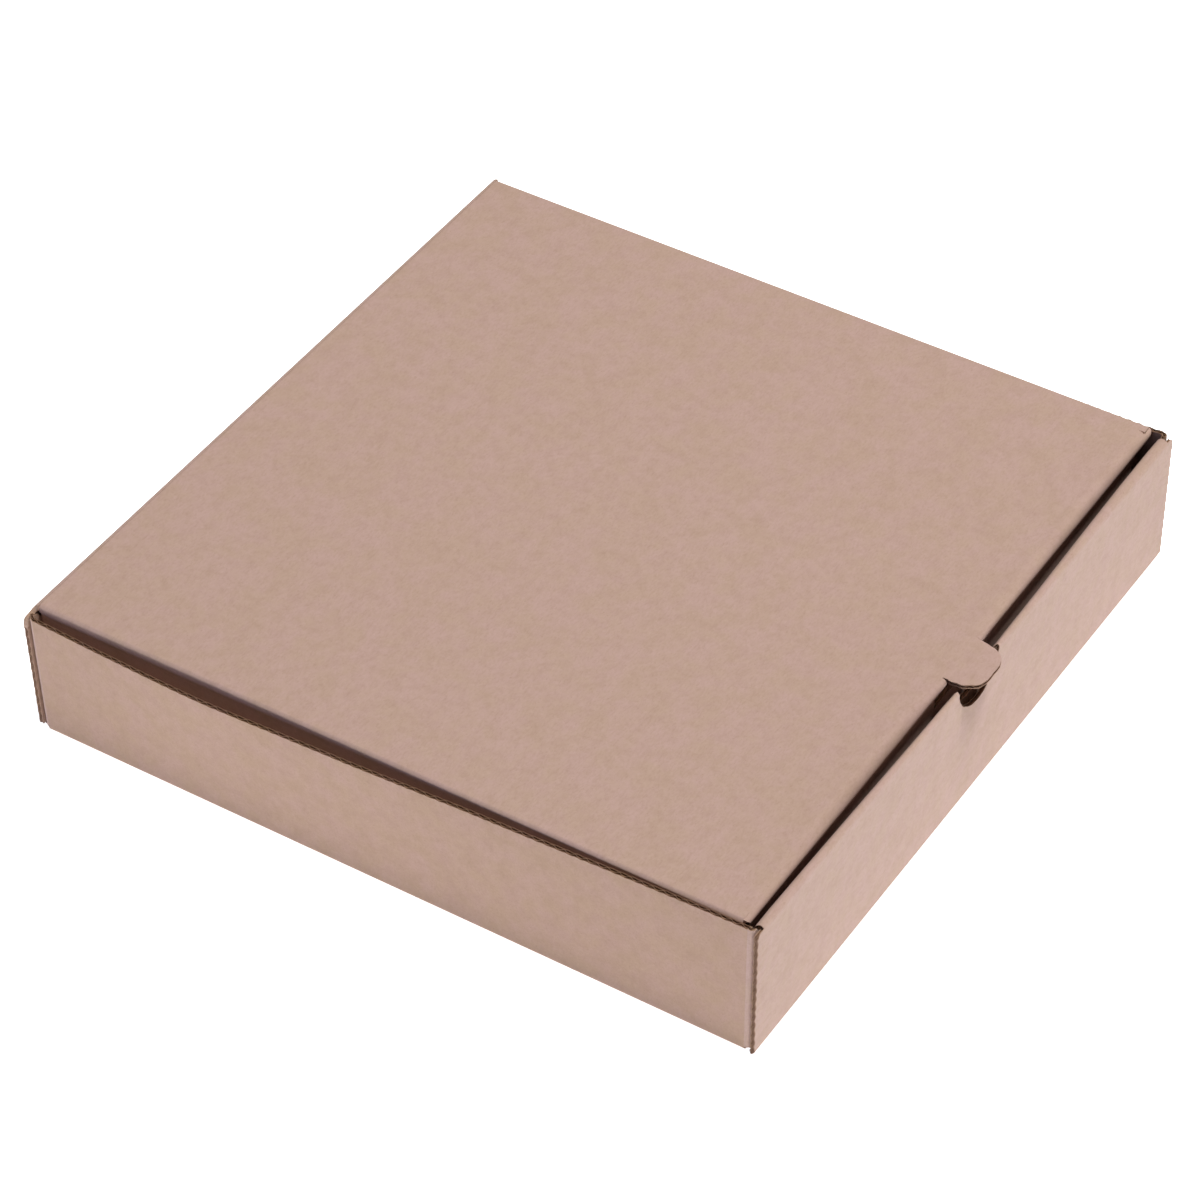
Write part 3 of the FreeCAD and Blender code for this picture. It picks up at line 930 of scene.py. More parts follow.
@dataclass
class Tray:
    """Floor, four walls and corner flaps, below the hinge crease.

    Attributes:
        box: Outside of the closed box.
        hinge: Crease that the back wall passes into.
        height_rear: Height of the side walls at the back.
        height_front: Height of the side walls at the front.
        right_drop: How much lower the right wall runs between its ends.
        left_lean: How far the left wall's top leans out.
        right_lean: How far the right wall's top leans out.
        lean_shares: Shares of the lean at even places, from the back to the front.
        corner_dip: How far the walls' tops dip at the front corners.
        corner_run: Length of that dip.
        flap_length: Length of the corner flaps along the front and back walls.
        front_flap_height: Height of the front corner flaps.
        rear_flap_height: Height of the rear corner flaps.
        flap_taper: Run of the step from a corner flap's root down to its height.
        flap_chamfer: Chamfer of a corner flap's free end.
        root_rise: How far a rear corner flap stands up at its fold.
        front_bend: Mid-line radius of the front corner flaps' fold.
        front_press: How hard that fold is pressed.
        front_height: Height of the roll-over front wall.
        roll_places: Places across the box where the width of the pressed top strip is given.
        roll_widths: Width of the pressed strip at those places.
        roll_press: How hard the strip is pressed.
        roll_blunt: How much smaller the strip's fold radii are than its width.
        inner_inset: How much shorter the inner front panel is at each end.
        slant: Height of the slanting stretch under the strip.
        outer_drop: How much lower the outer front panel ends than the strip.
        outer_round: Radius of its top corners.
        end_open: How open its pressed cut ends are.
        splay: How far the left end of the back wall stands out.
        splay_from: Distance from the middle where that starts.
        splay_height: Height at which the splay is whole.
        bulge: Depth of the dents in the front wall.
        ripple: Depth of the ripples in the side walls.
        foot_chamfer: Chamfer at the front wall's foot.
        notch_radius: Radius of the finger notch.
        notch_x: Place of the notch across the box.
        tab_width: Width of a lock tab.
        tab_spacing: Distance from one lock tab to the other.
        tab_clearance: Gap round a lock tab in its slot.
    """

    box: BoxSize
    hinge: HingeSize
    height_rear: float = 43.4
    height_front: float = 45.9
    right_drop: float = 1.7
    left_lean: float = 4.5
    right_lean: float = 0.8
    lean_shares: tuple[float, ...] = (0.44, 0.78, 1.0, 0.87, 0.69, 0.45, 0.27, 0.1, 0.0)
    corner_dip: float = 0.6
    corner_run: float = 5.0
    flap_length: float = 55.0
    front_flap_height: float = 36.0
    rear_flap_height: float = 38.0
    flap_taper: float = 6.0
    flap_chamfer: float = 6.0
    root_rise: float = 0.9
    front_bend: float = 0.35
    front_press: float = 1.1
    front_height: float = 45.8
    roll_places: tuple[float, ...] = (-114, -90, -60, -30, -8, 14, 40, 62, 90, 114)
    roll_widths: tuple[float, ...] = (2.9, 2.7, 2.3, 1.9, 1.8, 1.9, 2.3, 2.8, 3.3, 3.5)
    roll_press: float = 1.6
    roll_blunt: float = 2.2
    inner_inset: float = 3.0
    slant: float = 8.0
    outer_drop: float = 1.0
    outer_round: float = 1.5
    end_open: float = 0.2
    splay: float = 2.0
    splay_from: float = 96.0
    splay_height: float = 42.0
    bulge: float = 0.1
    ripple: float = 0.12
    foot_chamfer: float = 0.3
    notch_radius: float = 11.2
    notch_x: float = 0.4
    tab_width: float = 24.0
    tab_spacing: float = 140.0
    tab_clearance: float = 0.25

    def _lean(self, y: Array) -> Array:
        """Share of the lean at a place along a side wall."""
        end = self.box.side_end
        steps = np.linspace(end, -end, len(self.lean_shares))
        share = np.array(self.lean_shares)
        slope = np.gradient(share, steps)
        k = np.clip(((end - y) / (2 * end) * (len(steps) - 1)).astype(int), 0, len(steps) - 2)
        gap = steps[k + 1] - steps[k]
        t = np.clip((y - steps[k]) / gap, 0, 1)
        return ((2 * t**3 - 3 * t**2 + 1) * share[k] + (t**3 - 2 * t**2 + t) * gap * slope[k]
                + (3 * t**2 - 2 * t**3) * share[k + 1] + (t**3 - t**2) * gap * slope[k + 1])

    def rear_splay(self, x: Array, z: Array) -> Array:
        """How far the left end of the back wall follows the left wall as it leans out."""
        share = np.clip((-x - self.splay_from) / (self.box.width / 2 - self.splay_from), 0, 1)
        return self.splay * share * z / self.splay_height

    def floor_and_ends(self) -> Sheet:
        """Back wall, floor and roll-over front wall, one run of board folded along the box."""
        box, half = self.box, self.box.width / 2
        wall_y, floor_z = box.wall_y, BOARD.half
        strip_z, strip_y = self.front_height - BOARD.half, -box.depth / 2 + self.box.strip_width - BOARD.half
        inner_y = -box.depth / 2 + 2 * box.layer + BOARD.half + box.layer_gap
        slant_z, foot_z = self.front_height - self.slant, BOARD.thickness + box.clearance
        top = self.hinge.wall_z(box)
        small = (strip_y + wall_y) / self.roll_blunt
        path = FoldPath([(wall_y, top), (wall_y, floor_z), (-wall_y, floor_z), (-wall_y, strip_z),
                         (strip_y, strip_z), (inner_y, slant_z), (inner_y, foot_z)],
                        [box.fold, box.fold, small, small, self.slant / 2], step=0.2)

        # Measures down the path of a height on the back wall, a Y on the floor and a height on the front
        def back(z: float) -> float:
            return path.along(0, top - z)

        def floor(y: float) -> float:
            return path.along(1, wall_y - y)

        def front(z: float) -> float:
            return path.along(2, z - floor_z)

        bent = half - box.fold_outer
        reach = half - 2 * box.fold_outer
        inner = half - self.inner_inset
        corner = self.front_height - self.outer_drop
        right = [(0.0, half), (back(box.fold_outer), half), (back(box.fold_outer), bent),
                 (floor(reach), bent), (floor(reach), reach), (floor(-reach), reach), (floor(-reach), bent),
                 (front(self.foot_chamfer), bent), (front(self.foot_chamfer), half - self.foot_chamfer),
                 (front(2 * self.foot_chamfer), half)]
        right += [(front(z), x) for x, z in arc((half - self.outer_round, corner - self.outer_round),
                                                 self.outer_round, 0, 90)]
        right += [(front(corner), inner), (path.length, inner)]
        tabs = [(path.length + d, c) for side in (1, -1) for d, c in self._tab_corners(side)]
        left = [(s, -x) for s, x in reversed(right)]
        outline = right + tabs + left
        heights = path.at(np.array(path.marks), np.zeros(len(path.marks)))[1]
        holes = [self._notch(path, heights)]
        slot = self.tab_width / 2 + self.tab_clearance
        for side in (-1, 1):
            c = side * self.tab_spacing / 2
            s0 = floor(inner_y + BOARD.half + self.tab_clearance)
            s1 = floor(inner_y - BOARD.half - self.tab_clearance)
            holes.append([(s0, c - slot), (s1, c - slot), (s1, c + slot), (s0, c + slot)])

        strip_s, slant_s = path.along(2, strip_z - floor_z - small), path.along(4, self.slant - 1.0)

        # How far the roll-over strip is pushed back towards the outer panel
        def pressed(s: Array, x: Array) -> Array:
            places = [strip_s, strip_s + self.box.strip_width - 1, slant_s - 2, slant_s]
            share = np.interp(s, places, [0, 1, 0.6, 0])
            return share * (self.box.strip_width - np.interp(x, self.roll_places, self.roll_widths))

        def fold(s: Array, x: Array, depth: Array) -> Array:
            y, z = path.at(s, depth)
            wave = self.bulge * wander(x / 21.0, z / 13.0) * np.clip(-y - 114, 0, 1) * np.clip(z / 9, 0, 1)
            x = x - self.rear_splay(x, z) * (y > 0)
            below = np.maximum(s - path.length, 0)
            return np.stack([x, y - pressed(s, x) + np.abs(wave), z - below], axis=1)

        return Sheet("tray_floor_and_ends", outline, fold, path.rows(4.0),
                     even(-half, half, 9.0), holes=holes,
                     seams=[(0, 0.0), (1, reach), (1, -reach)],
                     crease=lambda s, x: path.bend(s) + self.roll_press * pressed(s, x),
                     open_share=lambda s, x: np.where(np.abs(x) > inner, self.end_open, 1.0))

    def _tab_corners(self, side: int) -> list[Point]:
        """Lock tab below the foot of the inner front panel, as drop and place across."""
        c, w, drop = side * self.tab_spacing / 2, self.tab_width / 2, BOARD.thickness - 0.1
        return [(0.0, c + w), (drop, c + w - 1), (drop, c - w + 1), (0.0, c - w)]

    def _notch(self, path: FoldPath, heights: Array) -> list[Point]:
        """Cut line of the half-round notch through the rolled front wall."""
        low = self.front_height - self.notch_radius
        start = path.along(2, low - BOARD.half)
        inner_low = np.interp(-low, -heights[heights.argmax():], path.marks[heights.argmax():])
        places = np.linspace(0, 1, 41)
        s = start + (inner_low - start) * (0.5 - 0.5 * np.cos(math.pi * places))
        z = path.at(s, np.zeros_like(s))[1]
        reach = np.sqrt(np.maximum(self.notch_radius**2 - (self.front_height - z)**2, 0.04))
        points = [(a, self.notch_x + r) for a, r in zip(s, reach)]
        points += [(a, self.notch_x - r) for a, r in zip(s[::-1], reach[::-1])]
        return points

    def side_wall(self, side: int, name: str) -> Sheet:
        """Side wall, with its top leaning out and its cut edge bare.

        Args:
            side: 1 for the right wall and -1 for the left one.
            name: Name of the piece.
        """
        box = self.box
        lean = self.right_lean if side > 0 else self.left_lean
        start = box.width / 2 - 2 * box.fold_outer
        corners = [(start, BOARD.half), (box.wall_x, BOARD.half), (box.wall_x, box.height)]
        path = FoldPath(corners, [box.fold])
        end = box.side_end
        rise, drop = self.height_front - self.height_rear, self.right_drop if side > 0 else 0.0

        # Height of the cut top edge along the wall, without and with its dip at the front corner
        def top(y: float) -> float:
            share = (end - y) / (2 * end)
            return self.height_rear + rise * share - drop * share * (1 - share**6)

        def dipped(y: float) -> float:
            slope = (self.corner_dip + BOARD.thickness) / (self.corner_run + BOARD.thickness)
            low = self.height_front - self.corner_dip + (y + end + BOARD.thickness) * slope
            return min(top(y), low)

        places = [end] + even(end - 4, 6 - end, 12.0) + [-end + 2.4, -end + 1.2, -end]
        edge = [(path.along(1, dipped(y) - BOARD.half), y) for y in places]
        edge = [(path.along(1, top(y) - BOARD.half), y) if y > 8 - end else p for p, y in zip(edge, places)]
        outline = [(0.0, -end), (0.0, end)] + edge

        def fold(s: Array, y: Array, depth: Array) -> Array:
            x, z = path.at(s, depth)
            share = np.maximum(z - BOARD.half, 0) / (self.height_rear - BOARD.half)
            ripple = self.ripple * wander(y / 17.0, z / 11.0) * share * (1 - (y / end) ** 4)
            return mirrored(side, 1, (x + lean * self._lean(y) * share + ripple, y, z))

        # The cut liner edges take the hollow's dark colour: painted shade for the shadow along the wall's
        # top edge
        return Sheet(name, outline, fold, path.rows(5.0), even(-end, end, 4.0),
                     flutes=Way.DOWN, seams=[(0, 0.0), (1, end), (1, -end)],
                     crease=lambda s, y: path.bend(s), lips=Face.PAINTED_HOLLOW_SHADE)

    def corner_flap(self, side: int, end: int, name: str) -> Sheet:
        """Flap folded in behind the front wall, or in front of the back wall.

        Args:
            side: 1 on the right and -1 on the left.
            end: 1 at the rear and -1 at the front.
            name: Name of the piece.
        """
        box = self.box
        lean = (self.right_lean if side > 0 else self.left_lean) * self.lean_shares[0] if end > 0 else 0.0
        top = self.height_rear if end > 0 else self.height_front - self.corner_dip + 0.55
        height = self.rear_flap_height if end > 0 else self.front_flap_height
        inner_x, edge_y = box.width / 2 - self.flap_length, box.side_end
        flap_y = edge_y + box.fold
        path = FoldPath([(inner_x, flap_y), (box.wall_x, flap_y), (box.wall_x, edge_y)],
                        [box.fold if end > 0 else self.front_bend], step=0.12)
        foot = BOARD.thickness + box.clearance
        cut = self.flap_chamfer
        root = path.along(0, box.width / 2 - box.fold_outer - inner_x)
        peak = top + (self.root_rise if end > 0 else 0.0)
        shoulder = root - (1.5 if end > 0 else 0.0)
        outline = [(0.0, foot + cut), (0.0, height - cut), (cut, height), (root - self.flap_taper, height),
                   (shoulder, top), (root + 0.2, peak), (path.length - 0.8, peak), (path.length, top),
                   (path.length, foot), (cut, foot)][::-1]

        def fold(s: Array, z: Array, depth: Array) -> Array:
            x, y = path.at(s, depth)
            reach = np.clip((x - inner_x) / (box.wall_x - inner_x), 0, 1)
            shift = lean * reach * (z - BOARD.half) / (self.height_rear - BOARD.half)
            return mirrored(side, end, (x + shift, y, z))

        return Sheet(name, outline, fold, path.rows(6.0), even(foot, peak, 6.0),
                     seams=[(0, path.length)],
                     crease=lambda s, z: (1.0 if end > 0 else self.front_press) * path.bend(s))

    def sheets(self) -> list[Sheet]:
        """All the sheets of the tray."""
        walls = [self.side_wall(-1, "left_wall"), self.side_wall(1, "right_wall")]
        flaps = [self.corner_flap(side, end, f"{fore}_{hand}_corner_flap")
                 for side, hand in ((-1, "left"), (1, "right"))
                 for end, fore in ((-1, "front"), (1, "rear"))]
        return [self.floor_and_ends()] + walls + flaps


@dataclass
class Lid:
    """Top panel with its front tuck flap, side flaps and thumb tab, beyond the hinge crease.

    Attributes:
        box: Outside of the closed box.
        hinge: Crease that the panel passes into.
        side_gap: Gap between the lid and each side wall.
        gap_left: Gap between strip and lid at the left end.
        gap_right: The same at the right end: the lid lies askew.
        soft_fold: Mid-line radius of the front fold where it is soft.
        tight_fold: The same at the corners and beside the thumb tab.
        soft_places: Places across the box where the fold's softness is given.
        soft_shares: Softness at those places, from 0 to 1.
        side_fold: Mid-line radius of the side flaps' folds.
        side_press: How hard those folds are pressed.
        flap_depth: Depth of the side flaps.
        flap_lean: How far their lower edges lean inwards.
        flap_wave: Depth of the waves in them.
        flap_rear_gap: Gap between a side flap and the rear corner flap, at the lower edge.
        end_gap: Gap between them at the fold.
        flap_front_gap: How far behind the front fold a side flap starts.
        flap_rear_taper: How much shorter the lower edge is at the back.
        flap_front_taper: The same at the front.
        ear: How far behind the front fold the panel meets the side flaps.
        lift_left: How far the left side stands above its flat place.
        lift_right: The same for the right side.
        tuck_depth: Depth of the front tuck flap.
        tuck_lean: How far its lower edge lies behind the front fold.
        knee_in: How far behind the front fold its knee lies.
        knee_drop: How far below the front fold its knee lies.
        knee_bend: Mid-line radius of the knee.
        tuck_inset: How much shorter it is at each end than the panel.
        tuck_taper: How much shorter again its lower edge is.
        tab_width: Width of the thumb tab.
        tab_overhang: How far it reaches past the front wall.
        tab_round: Radius of its corners.
        tab_kerf: Cut beside it.
        tab_set_back: How far behind the tight fold it leaves the panel.
        tab_shift: Place of its middle across the box.
        tab_droop: How far its tip hangs down.
        tab_curl: How far its right corner curls down.
        slot_start: How far behind the front fold its slot is measured from.
        slot_spare: How much longer the slot in the tuck flap is than the tab.
        sag: How far the panel sags in its middle.
        ripple: Depth of the small waves in the panel.
    """

    box: BoxSize
    hinge: HingeSize
    side_gap: float = 0.3
    gap_left: float = 0.85
    gap_right: float = 1.8
    soft_fold: float = 2.2
    tight_fold: float = 0.7
    soft_places: tuple[float, ...] = (-115, -95, -60, -30, -13, -10, 10, 15, 30, 60, 90, 108, 115)
    soft_shares: tuple[float, ...] = (0.0, 0.35, 1.0, 1.0, 0.3, 0.0, 0.0, 0.1, 0.4, 0.9, 1.0, 0.8, 0.2)
    side_fold: float = 0.2
    side_press: float = 2.0
    flap_depth: float = 30.0
    flap_lean: float = 2.5
    flap_wave: float = 0.12
    flap_rear_gap: float = 1.4
    end_gap: float = 0.1
    flap_front_gap: float = 1.6
    flap_rear_taper: float = 6.0
    flap_front_taper: float = 9.0
    ear: float = 1.1
    lift_left: float = -0.5
    lift_right: float = 1.2
    tuck_depth: float = 22.0
    tuck_lean: float = 3.2
    knee_in: float = 3.6
    knee_drop: float = 8.0
    knee_bend: float = 2.5
    tuck_inset: float = 2.0
    tuck_taper: float = 6.0
    tab_width: float = 19.2
    tab_overhang: float = 4.4
    tab_round: float = 7.4
    tab_kerf: float = 0.08
    tab_set_back: float = 0.4
    tab_shift: float = 0.4
    tab_droop: float = 0.8
    tab_curl: float = 0.9
    slot_start: float = 3.6
    slot_spare: float = 6.2
    sag: float = 0.35
    ripple: float = 0.05

    @property
    def half(self) -> float:
        """Half of the lid's width."""
        return self.box.width / 2 - BOARD.thickness - self.side_gap

    def front(self, x: float) -> float:
        """Y of the outside of the front fold: the lid lies a little askew."""
        gap = (self.gap_left + self.gap_right) / 2 + (self.gap_right - self.gap_left) * x / (2 * self.half)
        return -self.box.depth / 2 + self.box.strip_width + gap

    @property
    def tab_root(self) -> float:
        """Y where the thumb tab leaves the panel."""
        return self.front(0) + BOARD.half + self.tight_fold + self.tab_set_back

    @property
    def flap_ends(self) -> tuple[float, float]:
        """Y of the front end and the rear end of the side flaps."""
        return (self.front(self.half) + self.flap_front_gap,
                self.box.depth / 2 - 2 * self.box.layer - self.flap_rear_gap)

    def _dip(self, x: Array, y: Array) -> Array:
        """How far the lid's panel sags and waves below its flat place."""
        inside = self.half - 2 * self.box.fold_outer
        across = np.clip(1 - (x / inside) ** 2, 0, 1) ** 2
        along = np.clip(1 - (y / (inside - 4)) ** 2, 0, 1)
        return (self.sag * across * along * (0.7 + 0.3 * wander(x / 31.0, y / 27.0))
                + self.ripple * across * along * wander(x / 9.0, y / 7.0))

    def top_and_tuck(self) -> Sheet:
        """Panel and tuck flap, one run of board folded at the front."""
        box, z = self.box, self.box.lid_z
        fold_y = self.front(0) + BOARD.half
        rear = self.hinge.lid_y(box)
        corners = [(fold_y + self.tuck_lean, z - self.tuck_depth),
                   (fold_y + self.knee_in, z - self.knee_drop), (fold_y, z), (rear, z)]
        path = FoldPath(corners, [self.knee_bend, self.soft_fold], step=0.3)
        tight = FoldPath(corners, [self.knee_bend, self.tight_fold], step=0.3)
        extra = tight.length - path.length
        knee = math.hypot(self.knee_in, self.knee_drop)

        # Measures down the path of a height on the tuck flap above its knee, and of a Y on the panel
        def tuck(low: float) -> float:
            return path.along(1, knee * (1 - (z - low) / self.knee_drop))

        def panel(y: float) -> float:
            return path.along(2, y - fold_y)

        half = self.half
        seam = half - 2 * box.fold_outer
        end = half - box.fold_outer - self.tuck_inset
        root = tuck(z - self.soft_fold - BOARD.thickness)
        start = panel(fold_y + self.ear)
        right = [(0.0, end - self.tuck_taper), (root, end), (root + 1.2, end + 1.4),
                 (start - 0.5, half - 0.7), (start, half - 0.5), (start, seam), (path.length, seam)]
        slot = self.tab_width / 2 + self.tab_kerf
        reach = self.tab_overhang + box.depth / 2 + self.front(0)
        deep = panel(fold_y + self.slot_start) - reach - self.slot_spare
        slot_end = panel(self.tab_root)
        c = self.tab_shift
        cut = [(slot_end, c - slot), (slot_end, c + slot), (deep, c + slot), (deep, c - slot)]
        outline = [(s, x) for s, x in right] + [(s, -x) for s, x in reversed(right)]

        def fold(s: Array, x: Array, depth: Array) -> Array:
            soft = np.interp(x, self.soft_places, self.soft_shares)
            soft_y, soft_z = path.at(s, depth)
            tight_y, tight_z = tight.at(s + extra, depth)
            y, height = tight_y + (soft_y - tight_y) * soft, tight_z + (soft_z - tight_z) * soft
            return np.stack([x, y + self._askew(x, y), height + self.lift(x) - self._dip(x, y)], axis=1)

        rows = sorted(path.rows(3.3) + [m - extra for m in tight.marks[1:-1]])
        rows = [b for a, b in zip([-1.0] + rows, rows) if b - a > 0.08]
        return Sheet("lid_top_and_tuck", outline, fold, rows, even(-half, half, 7.0),
                     holes=[cut], seams=[(0, path.length), (1, seam), (1, -seam), (0, slot_end), (0, start)],
                     shut=(root, slot_end + 0.1),
                     crease=lambda s, x: path.bend(s))

    def lift(self, x: Array) -> Array:
        """How far the lid stands above its flat place: it is pressed home on the left only."""
        return self.lift_left + (self.lift_right - self.lift_left) * (0.5 + x / (2 * self.half))

    def _askew(self, x: Array, y: Array) -> Array:
        """How far a point of the lid is turned along the box, about the hinge."""
        rear, fold_y = self.hinge.lid_y(self.box), self.front(0) + BOARD.half
        share = np.clip((rear - y) / (rear - fold_y), 0, 1)
        return (self.gap_right - self.gap_left) * x / (2 * self.half) * share

    def side_flap(self, side: int, name: str) -> Sheet:
        """Side flap folded down inside a side wall.

        Args:
            side: 1 on the right and -1 on the left.
            name: Name of the piece.
        """
        box, z = self.box, self.box.lid_z
        x = self.half - BOARD.half
        start = self.half - 2 * box.fold_outer
        path = FoldPath([(start, z), (x, z), (x, z - self.flap_depth)], [self.side_fold], step=0.08)
        ahead, behind = self.flap_ends
        corner, rear = self.front(0) + BOARD.half + self.ear, self.hinge.lid_y(box)
        root = path.along(1, box.fold_outer)
        end = box.side_end + self.end_gap
        outline = [(0.0, corner), (0.0, rear), (root, rear), (root + 0.3, end), (root + 10.0, end),
                   (path.length, behind - self.flap_rear_taper),
                   (path.length, ahead + self.flap_front_taper),
                   (root + 2.0, ahead + 0.6), (root, corner)][::-1]

        def fold(s: Array, y: Array, depth: Array) -> Array:
            a, height = path.at(s, depth)
            hang = np.clip((z - height) / self.flap_depth, 0, 1)
            wave = self.flap_wave * hang * wander(y / 23.0, height / 15.0) + self.flap_lean * hang
            return mirrored(side, 1, (a - np.abs(wave), y + self._askew(side * self.half, y),
                                      height + self.lift(side * a)))

        return Sheet(name, outline, fold, path.rows(5.0), even(corner, rear, 5.0),
                     flutes=Way.DOWN, seams=[(0, 0.0), (1, corner), (1, rear)],
                     crease=lambda s, y: self.side_press * path.bend(s))

    def thumb_tab(self) -> Sheet:
        """Rounded tongue in the plane of the lid, reaching over the notch."""
        box, half = self.box, self.tab_width / 2
        root = self.tab_root
        tip = root + box.depth / 2 + self.tab_overhang
        r = self.tab_round
        outline = [(0.0, half)] + [(a, b) for b, a in arc((half - r, tip - r), r, 0, 90, 8)]
        outline += [(a, b) for b, a in arc((r - half, tip - r), r, 90, 180, 8)] + [(0.0, -half)]

        def fold(s: Array, x: Array, depth: Array) -> Array:
            reach = np.clip(s / tip, 0, 1)
            droop = self.tab_droop * reach**2 * (0.55 + 0.45 * np.clip(x / half, -1, 1) ** 3
                                                 + 0.25 * (x / half) ** 2)
            droop = droop + self.tab_curl * np.clip((x - half + 3.4) / 3.4, 0, 1) ** 2 * np.clip(s / 4, 0, 1)
            x, y = x + self.tab_shift, root - s
            height = box.lid_z + self.lift(x) - self._dip(x, y) - droop
            return np.stack([x, y + self._askew(x, y), height + depth], axis=1)

        return Sheet("thumb_tab", outline, fold, even(0, tip, 1.5), even(-half, half, 2.0),
                     seams=[(0, 0.0)])

    def sheets(self) -> list[Sheet]:
        """All the sheets of the lid."""
        flaps = [self.side_flap(-1, "lid_left_flap"), self.side_flap(1, "lid_right_flap")]
        return [self.top_and_tuck()] + flaps + [self.thumb_tab()]


@dataclass
class Crease:
    """Soft hinge crease, which bends between the tray's back wall and the lid.

    Attributes:
        box: Outside of the closed box.
        hinge: How far the crease reaches down and inwards.
        lid: What it passes into at its top.
        tray: What it passes into at its foot.
        puff: How much the board puffs up along the crease.
        narrow: Share of the way down to which it is as narrow as the lid.
        full: Share of the way down from which it is as wide as the box.
        step: Turn from one line of the crease to the next, in degrees.
    """

    box: BoxSize
    hinge: HingeSize
    lid: Lid
    tray: Tray
    puff: float = 1.6
    narrow: float = 0.28
    full: float = 0.62
    step: int = 5

    def sheet(self) -> Sheet:
        """The rounded strip from the lid's panel down to the back wall."""
        box = self.box
        centre_y, centre_z = self.hinge.lid_y(box), self.hinge.wall_z(box)
        reach, rise = box.wall_y - centre_y, box.lid_z - centre_z
        angles = [math.radians(90 - turn) for turn in range(0, 90 + self.step, self.step)]
        path = FoldPath.through([(centre_y + reach * math.cos(a), centre_z + rise * math.sin(a))
                                 for a in angles])
        half, length = box.width / 2, path.length
        right = [(0.0, self.lid.half), (self.narrow * length, self.lid.half),
                 (0.5 * length, half - 0.5), (self.full * length, half), (length, half)]
        outline = right + [(s, -x) for s, x in reversed(right)]

        def fold(s: Array, x: Array, depth: Array) -> Array:
            y, z = path.at(s, depth)
            share = np.clip((z - centre_z) / rise, 0, 1)
            splay = self.tray.rear_splay(x, z) * (1 - share**3)
            return np.stack([x - splay, y, z + self.lid.lift(x) * share], axis=1)

        return Sheet("hinge_crease", outline, fold, path.rows(0.5), even(-half, half, 9.0),
                     seams=[(0, 0.0), (0, length)], crushed=True,
                     crease=lambda s, x: -self.puff * np.sin(math.pi * s / length) ** 2)


@dataclass(frozen=True)
class Lamp:
    """Round soft lamp that points at the box, in metres and watts."""

    name: str
    place: Place
    size: float
    power: float
    colour: Place


@dataclass(frozen=True)
class Shot:
    """Where the photograph was taken from, in metres, and how.

    Attributes:
        spot: Place of the camera.
        aim: Place that it points at.
        roll: Turn about the line of sight, in degrees.
        lens: Focal length in millimetres, on the sensor.
        sensor: Width of the sensor in millimetres.
    """

    spot: Place = (-0.7777, -0.4867, 0.8356)
    aim: Place = (0.0045, 0.0071, 0.0084)
    roll: float = -0.07
    lens: float = 129.168
    sensor: float = 36.0


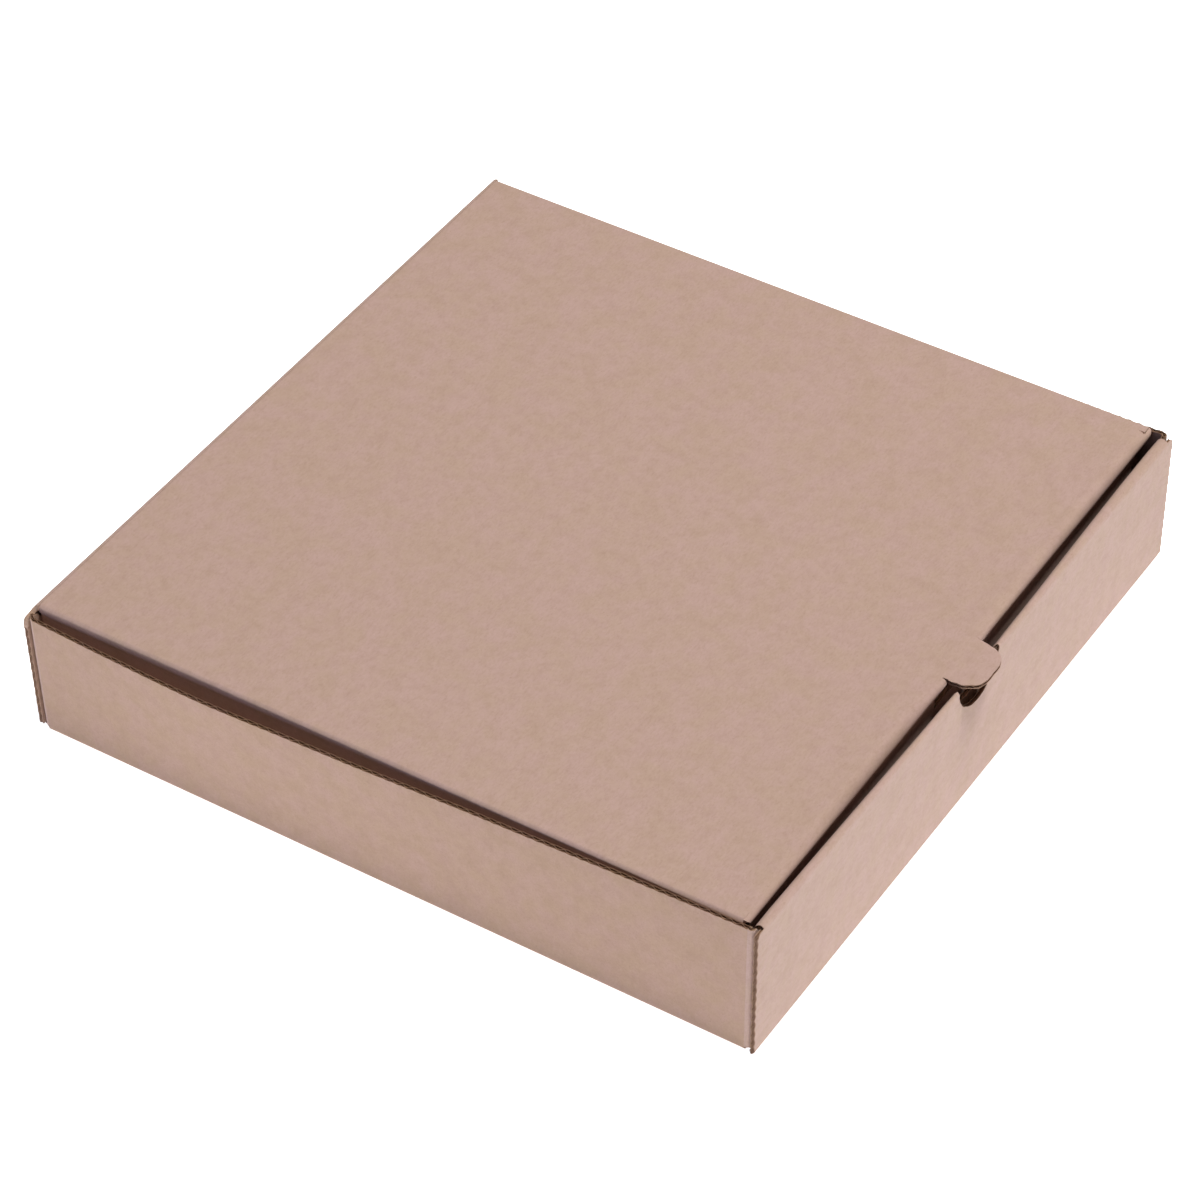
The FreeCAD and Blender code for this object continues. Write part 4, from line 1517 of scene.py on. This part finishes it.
@dataclass(frozen=True)
class Studio:
    """Pale floor, soft light, and the camera of the photograph."""

    shot: Shot = Shot()
    lamps: tuple[Lamp, ...] = (
        Lamp("top_light", (0.45, -0.63, 2.85), 0.6, 84.3, (1.0, 0.992, 0.965)),
        Lamp("front_light", (0.4, -1.9, 0.1), 0.8, 0.2, (1.0, 1.0, 0.7)),
        Lamp("left_light", (-1.9, 0.1, 0.08), 0.8, 8.0, (0.56, 0.63, 1.0)))
    sky: float = 0.06
    floor_half: float = 3.0
    floor_glow: float = 1.1
    glow_colour: Place = (0.9, 0.93, 0.96)

    def floor(self) -> None:
        """Lays a plain pale floor under the box."""
        r = self.floor_half
        mesh = bpy.data.meshes.new("studio_floor")
        mesh.from_pydata([(-r, -r, 0), (r, -r, 0), (r, r, 0), (-r, r, 0)], [], [(0, 1, 2, 3)])
        floor = bpy.data.objects.new("studio_floor", mesh)
        bpy.context.scene.collection.objects.link(floor)
        made = bpy.data.materials.new("studio_floor")
        made.use_nodes = True
        shader = made.node_tree.nodes["Principled BSDF"]
        shader.inputs["Base Color"].default_value = (0.8, 0.8, 0.8, 1.0)
        shader.inputs["Roughness"].default_value = 0.9
        shader.inputs["Specular IOR Level"].default_value = 0.1
        shader.inputs["Emission Color"].default_value = (*self.glow_colour, 1.0)
        shader.inputs["Emission Strength"].default_value = self.floor_glow
        mesh.materials.append(made)

    def lights(self) -> None:
        """Even sky, with soft lamps over the box, in front of it and at its left."""
        world = bpy.data.worlds.new("studio_sky")
        world.use_nodes = True
        sky = world.node_tree.nodes["Background"]
        sky.inputs["Color"].default_value = (1.0, 1.0, 1.0, 1.0)
        sky.inputs["Strength"].default_value = self.sky
        bpy.context.scene.world = world
        for lamp in self.lamps:
            light = bpy.data.lights.new(lamp.name, "AREA")
            light.shape = "DISK"
            light.size = lamp.size
            light.energy = lamp.power
            light.color = lamp.colour
            stand = bpy.data.objects.new(lamp.name, light)
            stand.location = lamp.place
            stand.rotation_mode = "QUATERNION"
            stand.rotation_quaternion = (-Vector(lamp.place)).to_track_quat("-Z", "Y")
            bpy.context.scene.collection.objects.link(stand)

    def camera(self) -> None:
        """Camera at the photograph's place: a long lens, looking down on the front left corner."""
        shot = self.shot
        lens = bpy.data.cameras.new("camera")
        lens.sensor_width = shot.sensor
        lens.lens = shot.lens
        camera = bpy.data.objects.new("camera", lens)
        spot = Vector(shot.spot)
        look = (Vector(shot.aim) - spot).to_track_quat("-Z", "Y")
        camera.matrix_world = (Matrix.Translation(spot) @ look.to_matrix().to_4x4()
                               @ Matrix.Rotation(math.radians(shot.roll), 4, "Z"))
        bpy.context.scene.collection.objects.link(camera)
        bpy.context.scene.camera = camera

    def set_up(self) -> None:
        """Makes the whole studio."""
        bpy.context.scene.view_settings.view_transform = "Standard"
        self.floor()
        self.lights()
        self.camera()


class PizzaBox:
    """The dressed box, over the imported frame."""

    def __init__(self) -> None:
        self.box = BoxSize()
        self.hinge = HingeSize()
        self.tray = Tray(self.box, self.hinge)
        self.lid = Lid(self.box, self.hinge)
        self.paper = Paper()
        self.flutes = FluteTree(self.paper)

    def _dress(self, piece: bpy.types.Object) -> None:
        """Gives a sheet its papers and the painted shade of its cuts, in the order of Face."""
        for finish in (OUTER_LINER, INNER_LINER, CUT_EDGE, PAINTED_HOLLOW_SHADE):
            piece.data.materials.append(self.paper.material(finish))

    def build(self) -> None:
        """Makes every piece, and binds each to its body except the hinge crease."""
        for body, sheets in (("tray", self.tray.sheets()), ("lid", self.lid.sheets())):
            strip = Strip()
            for sheet in sheets:
                piece = sheet.build(strip)
                self._dress(piece)
                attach(piece, body)
                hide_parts(body)
            medium = self.flutes.fill(f"{body}_fluted_paper", strip)
            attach(medium, body)
        self._crease()

    def _crease(self) -> None:
        """The hinge crease, shaped to meet the tray at its foot and the lid at its top, and bound to neither
        body.
        """
        strip = Strip()
        crease = Crease(self.box, self.hinge, self.lid, self.tray).sheet().build(strip)
        self._dress(crease)
        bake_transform(crease)


def main() -> None:
    """Dresses the box and sets up the studio round it."""
    logging.basicConfig(level=logging.INFO, format="%(name)s: %(message)s")
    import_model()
    PizzaBox().build()
    Studio().set_up()


if __name__ == "__main__":
    main()
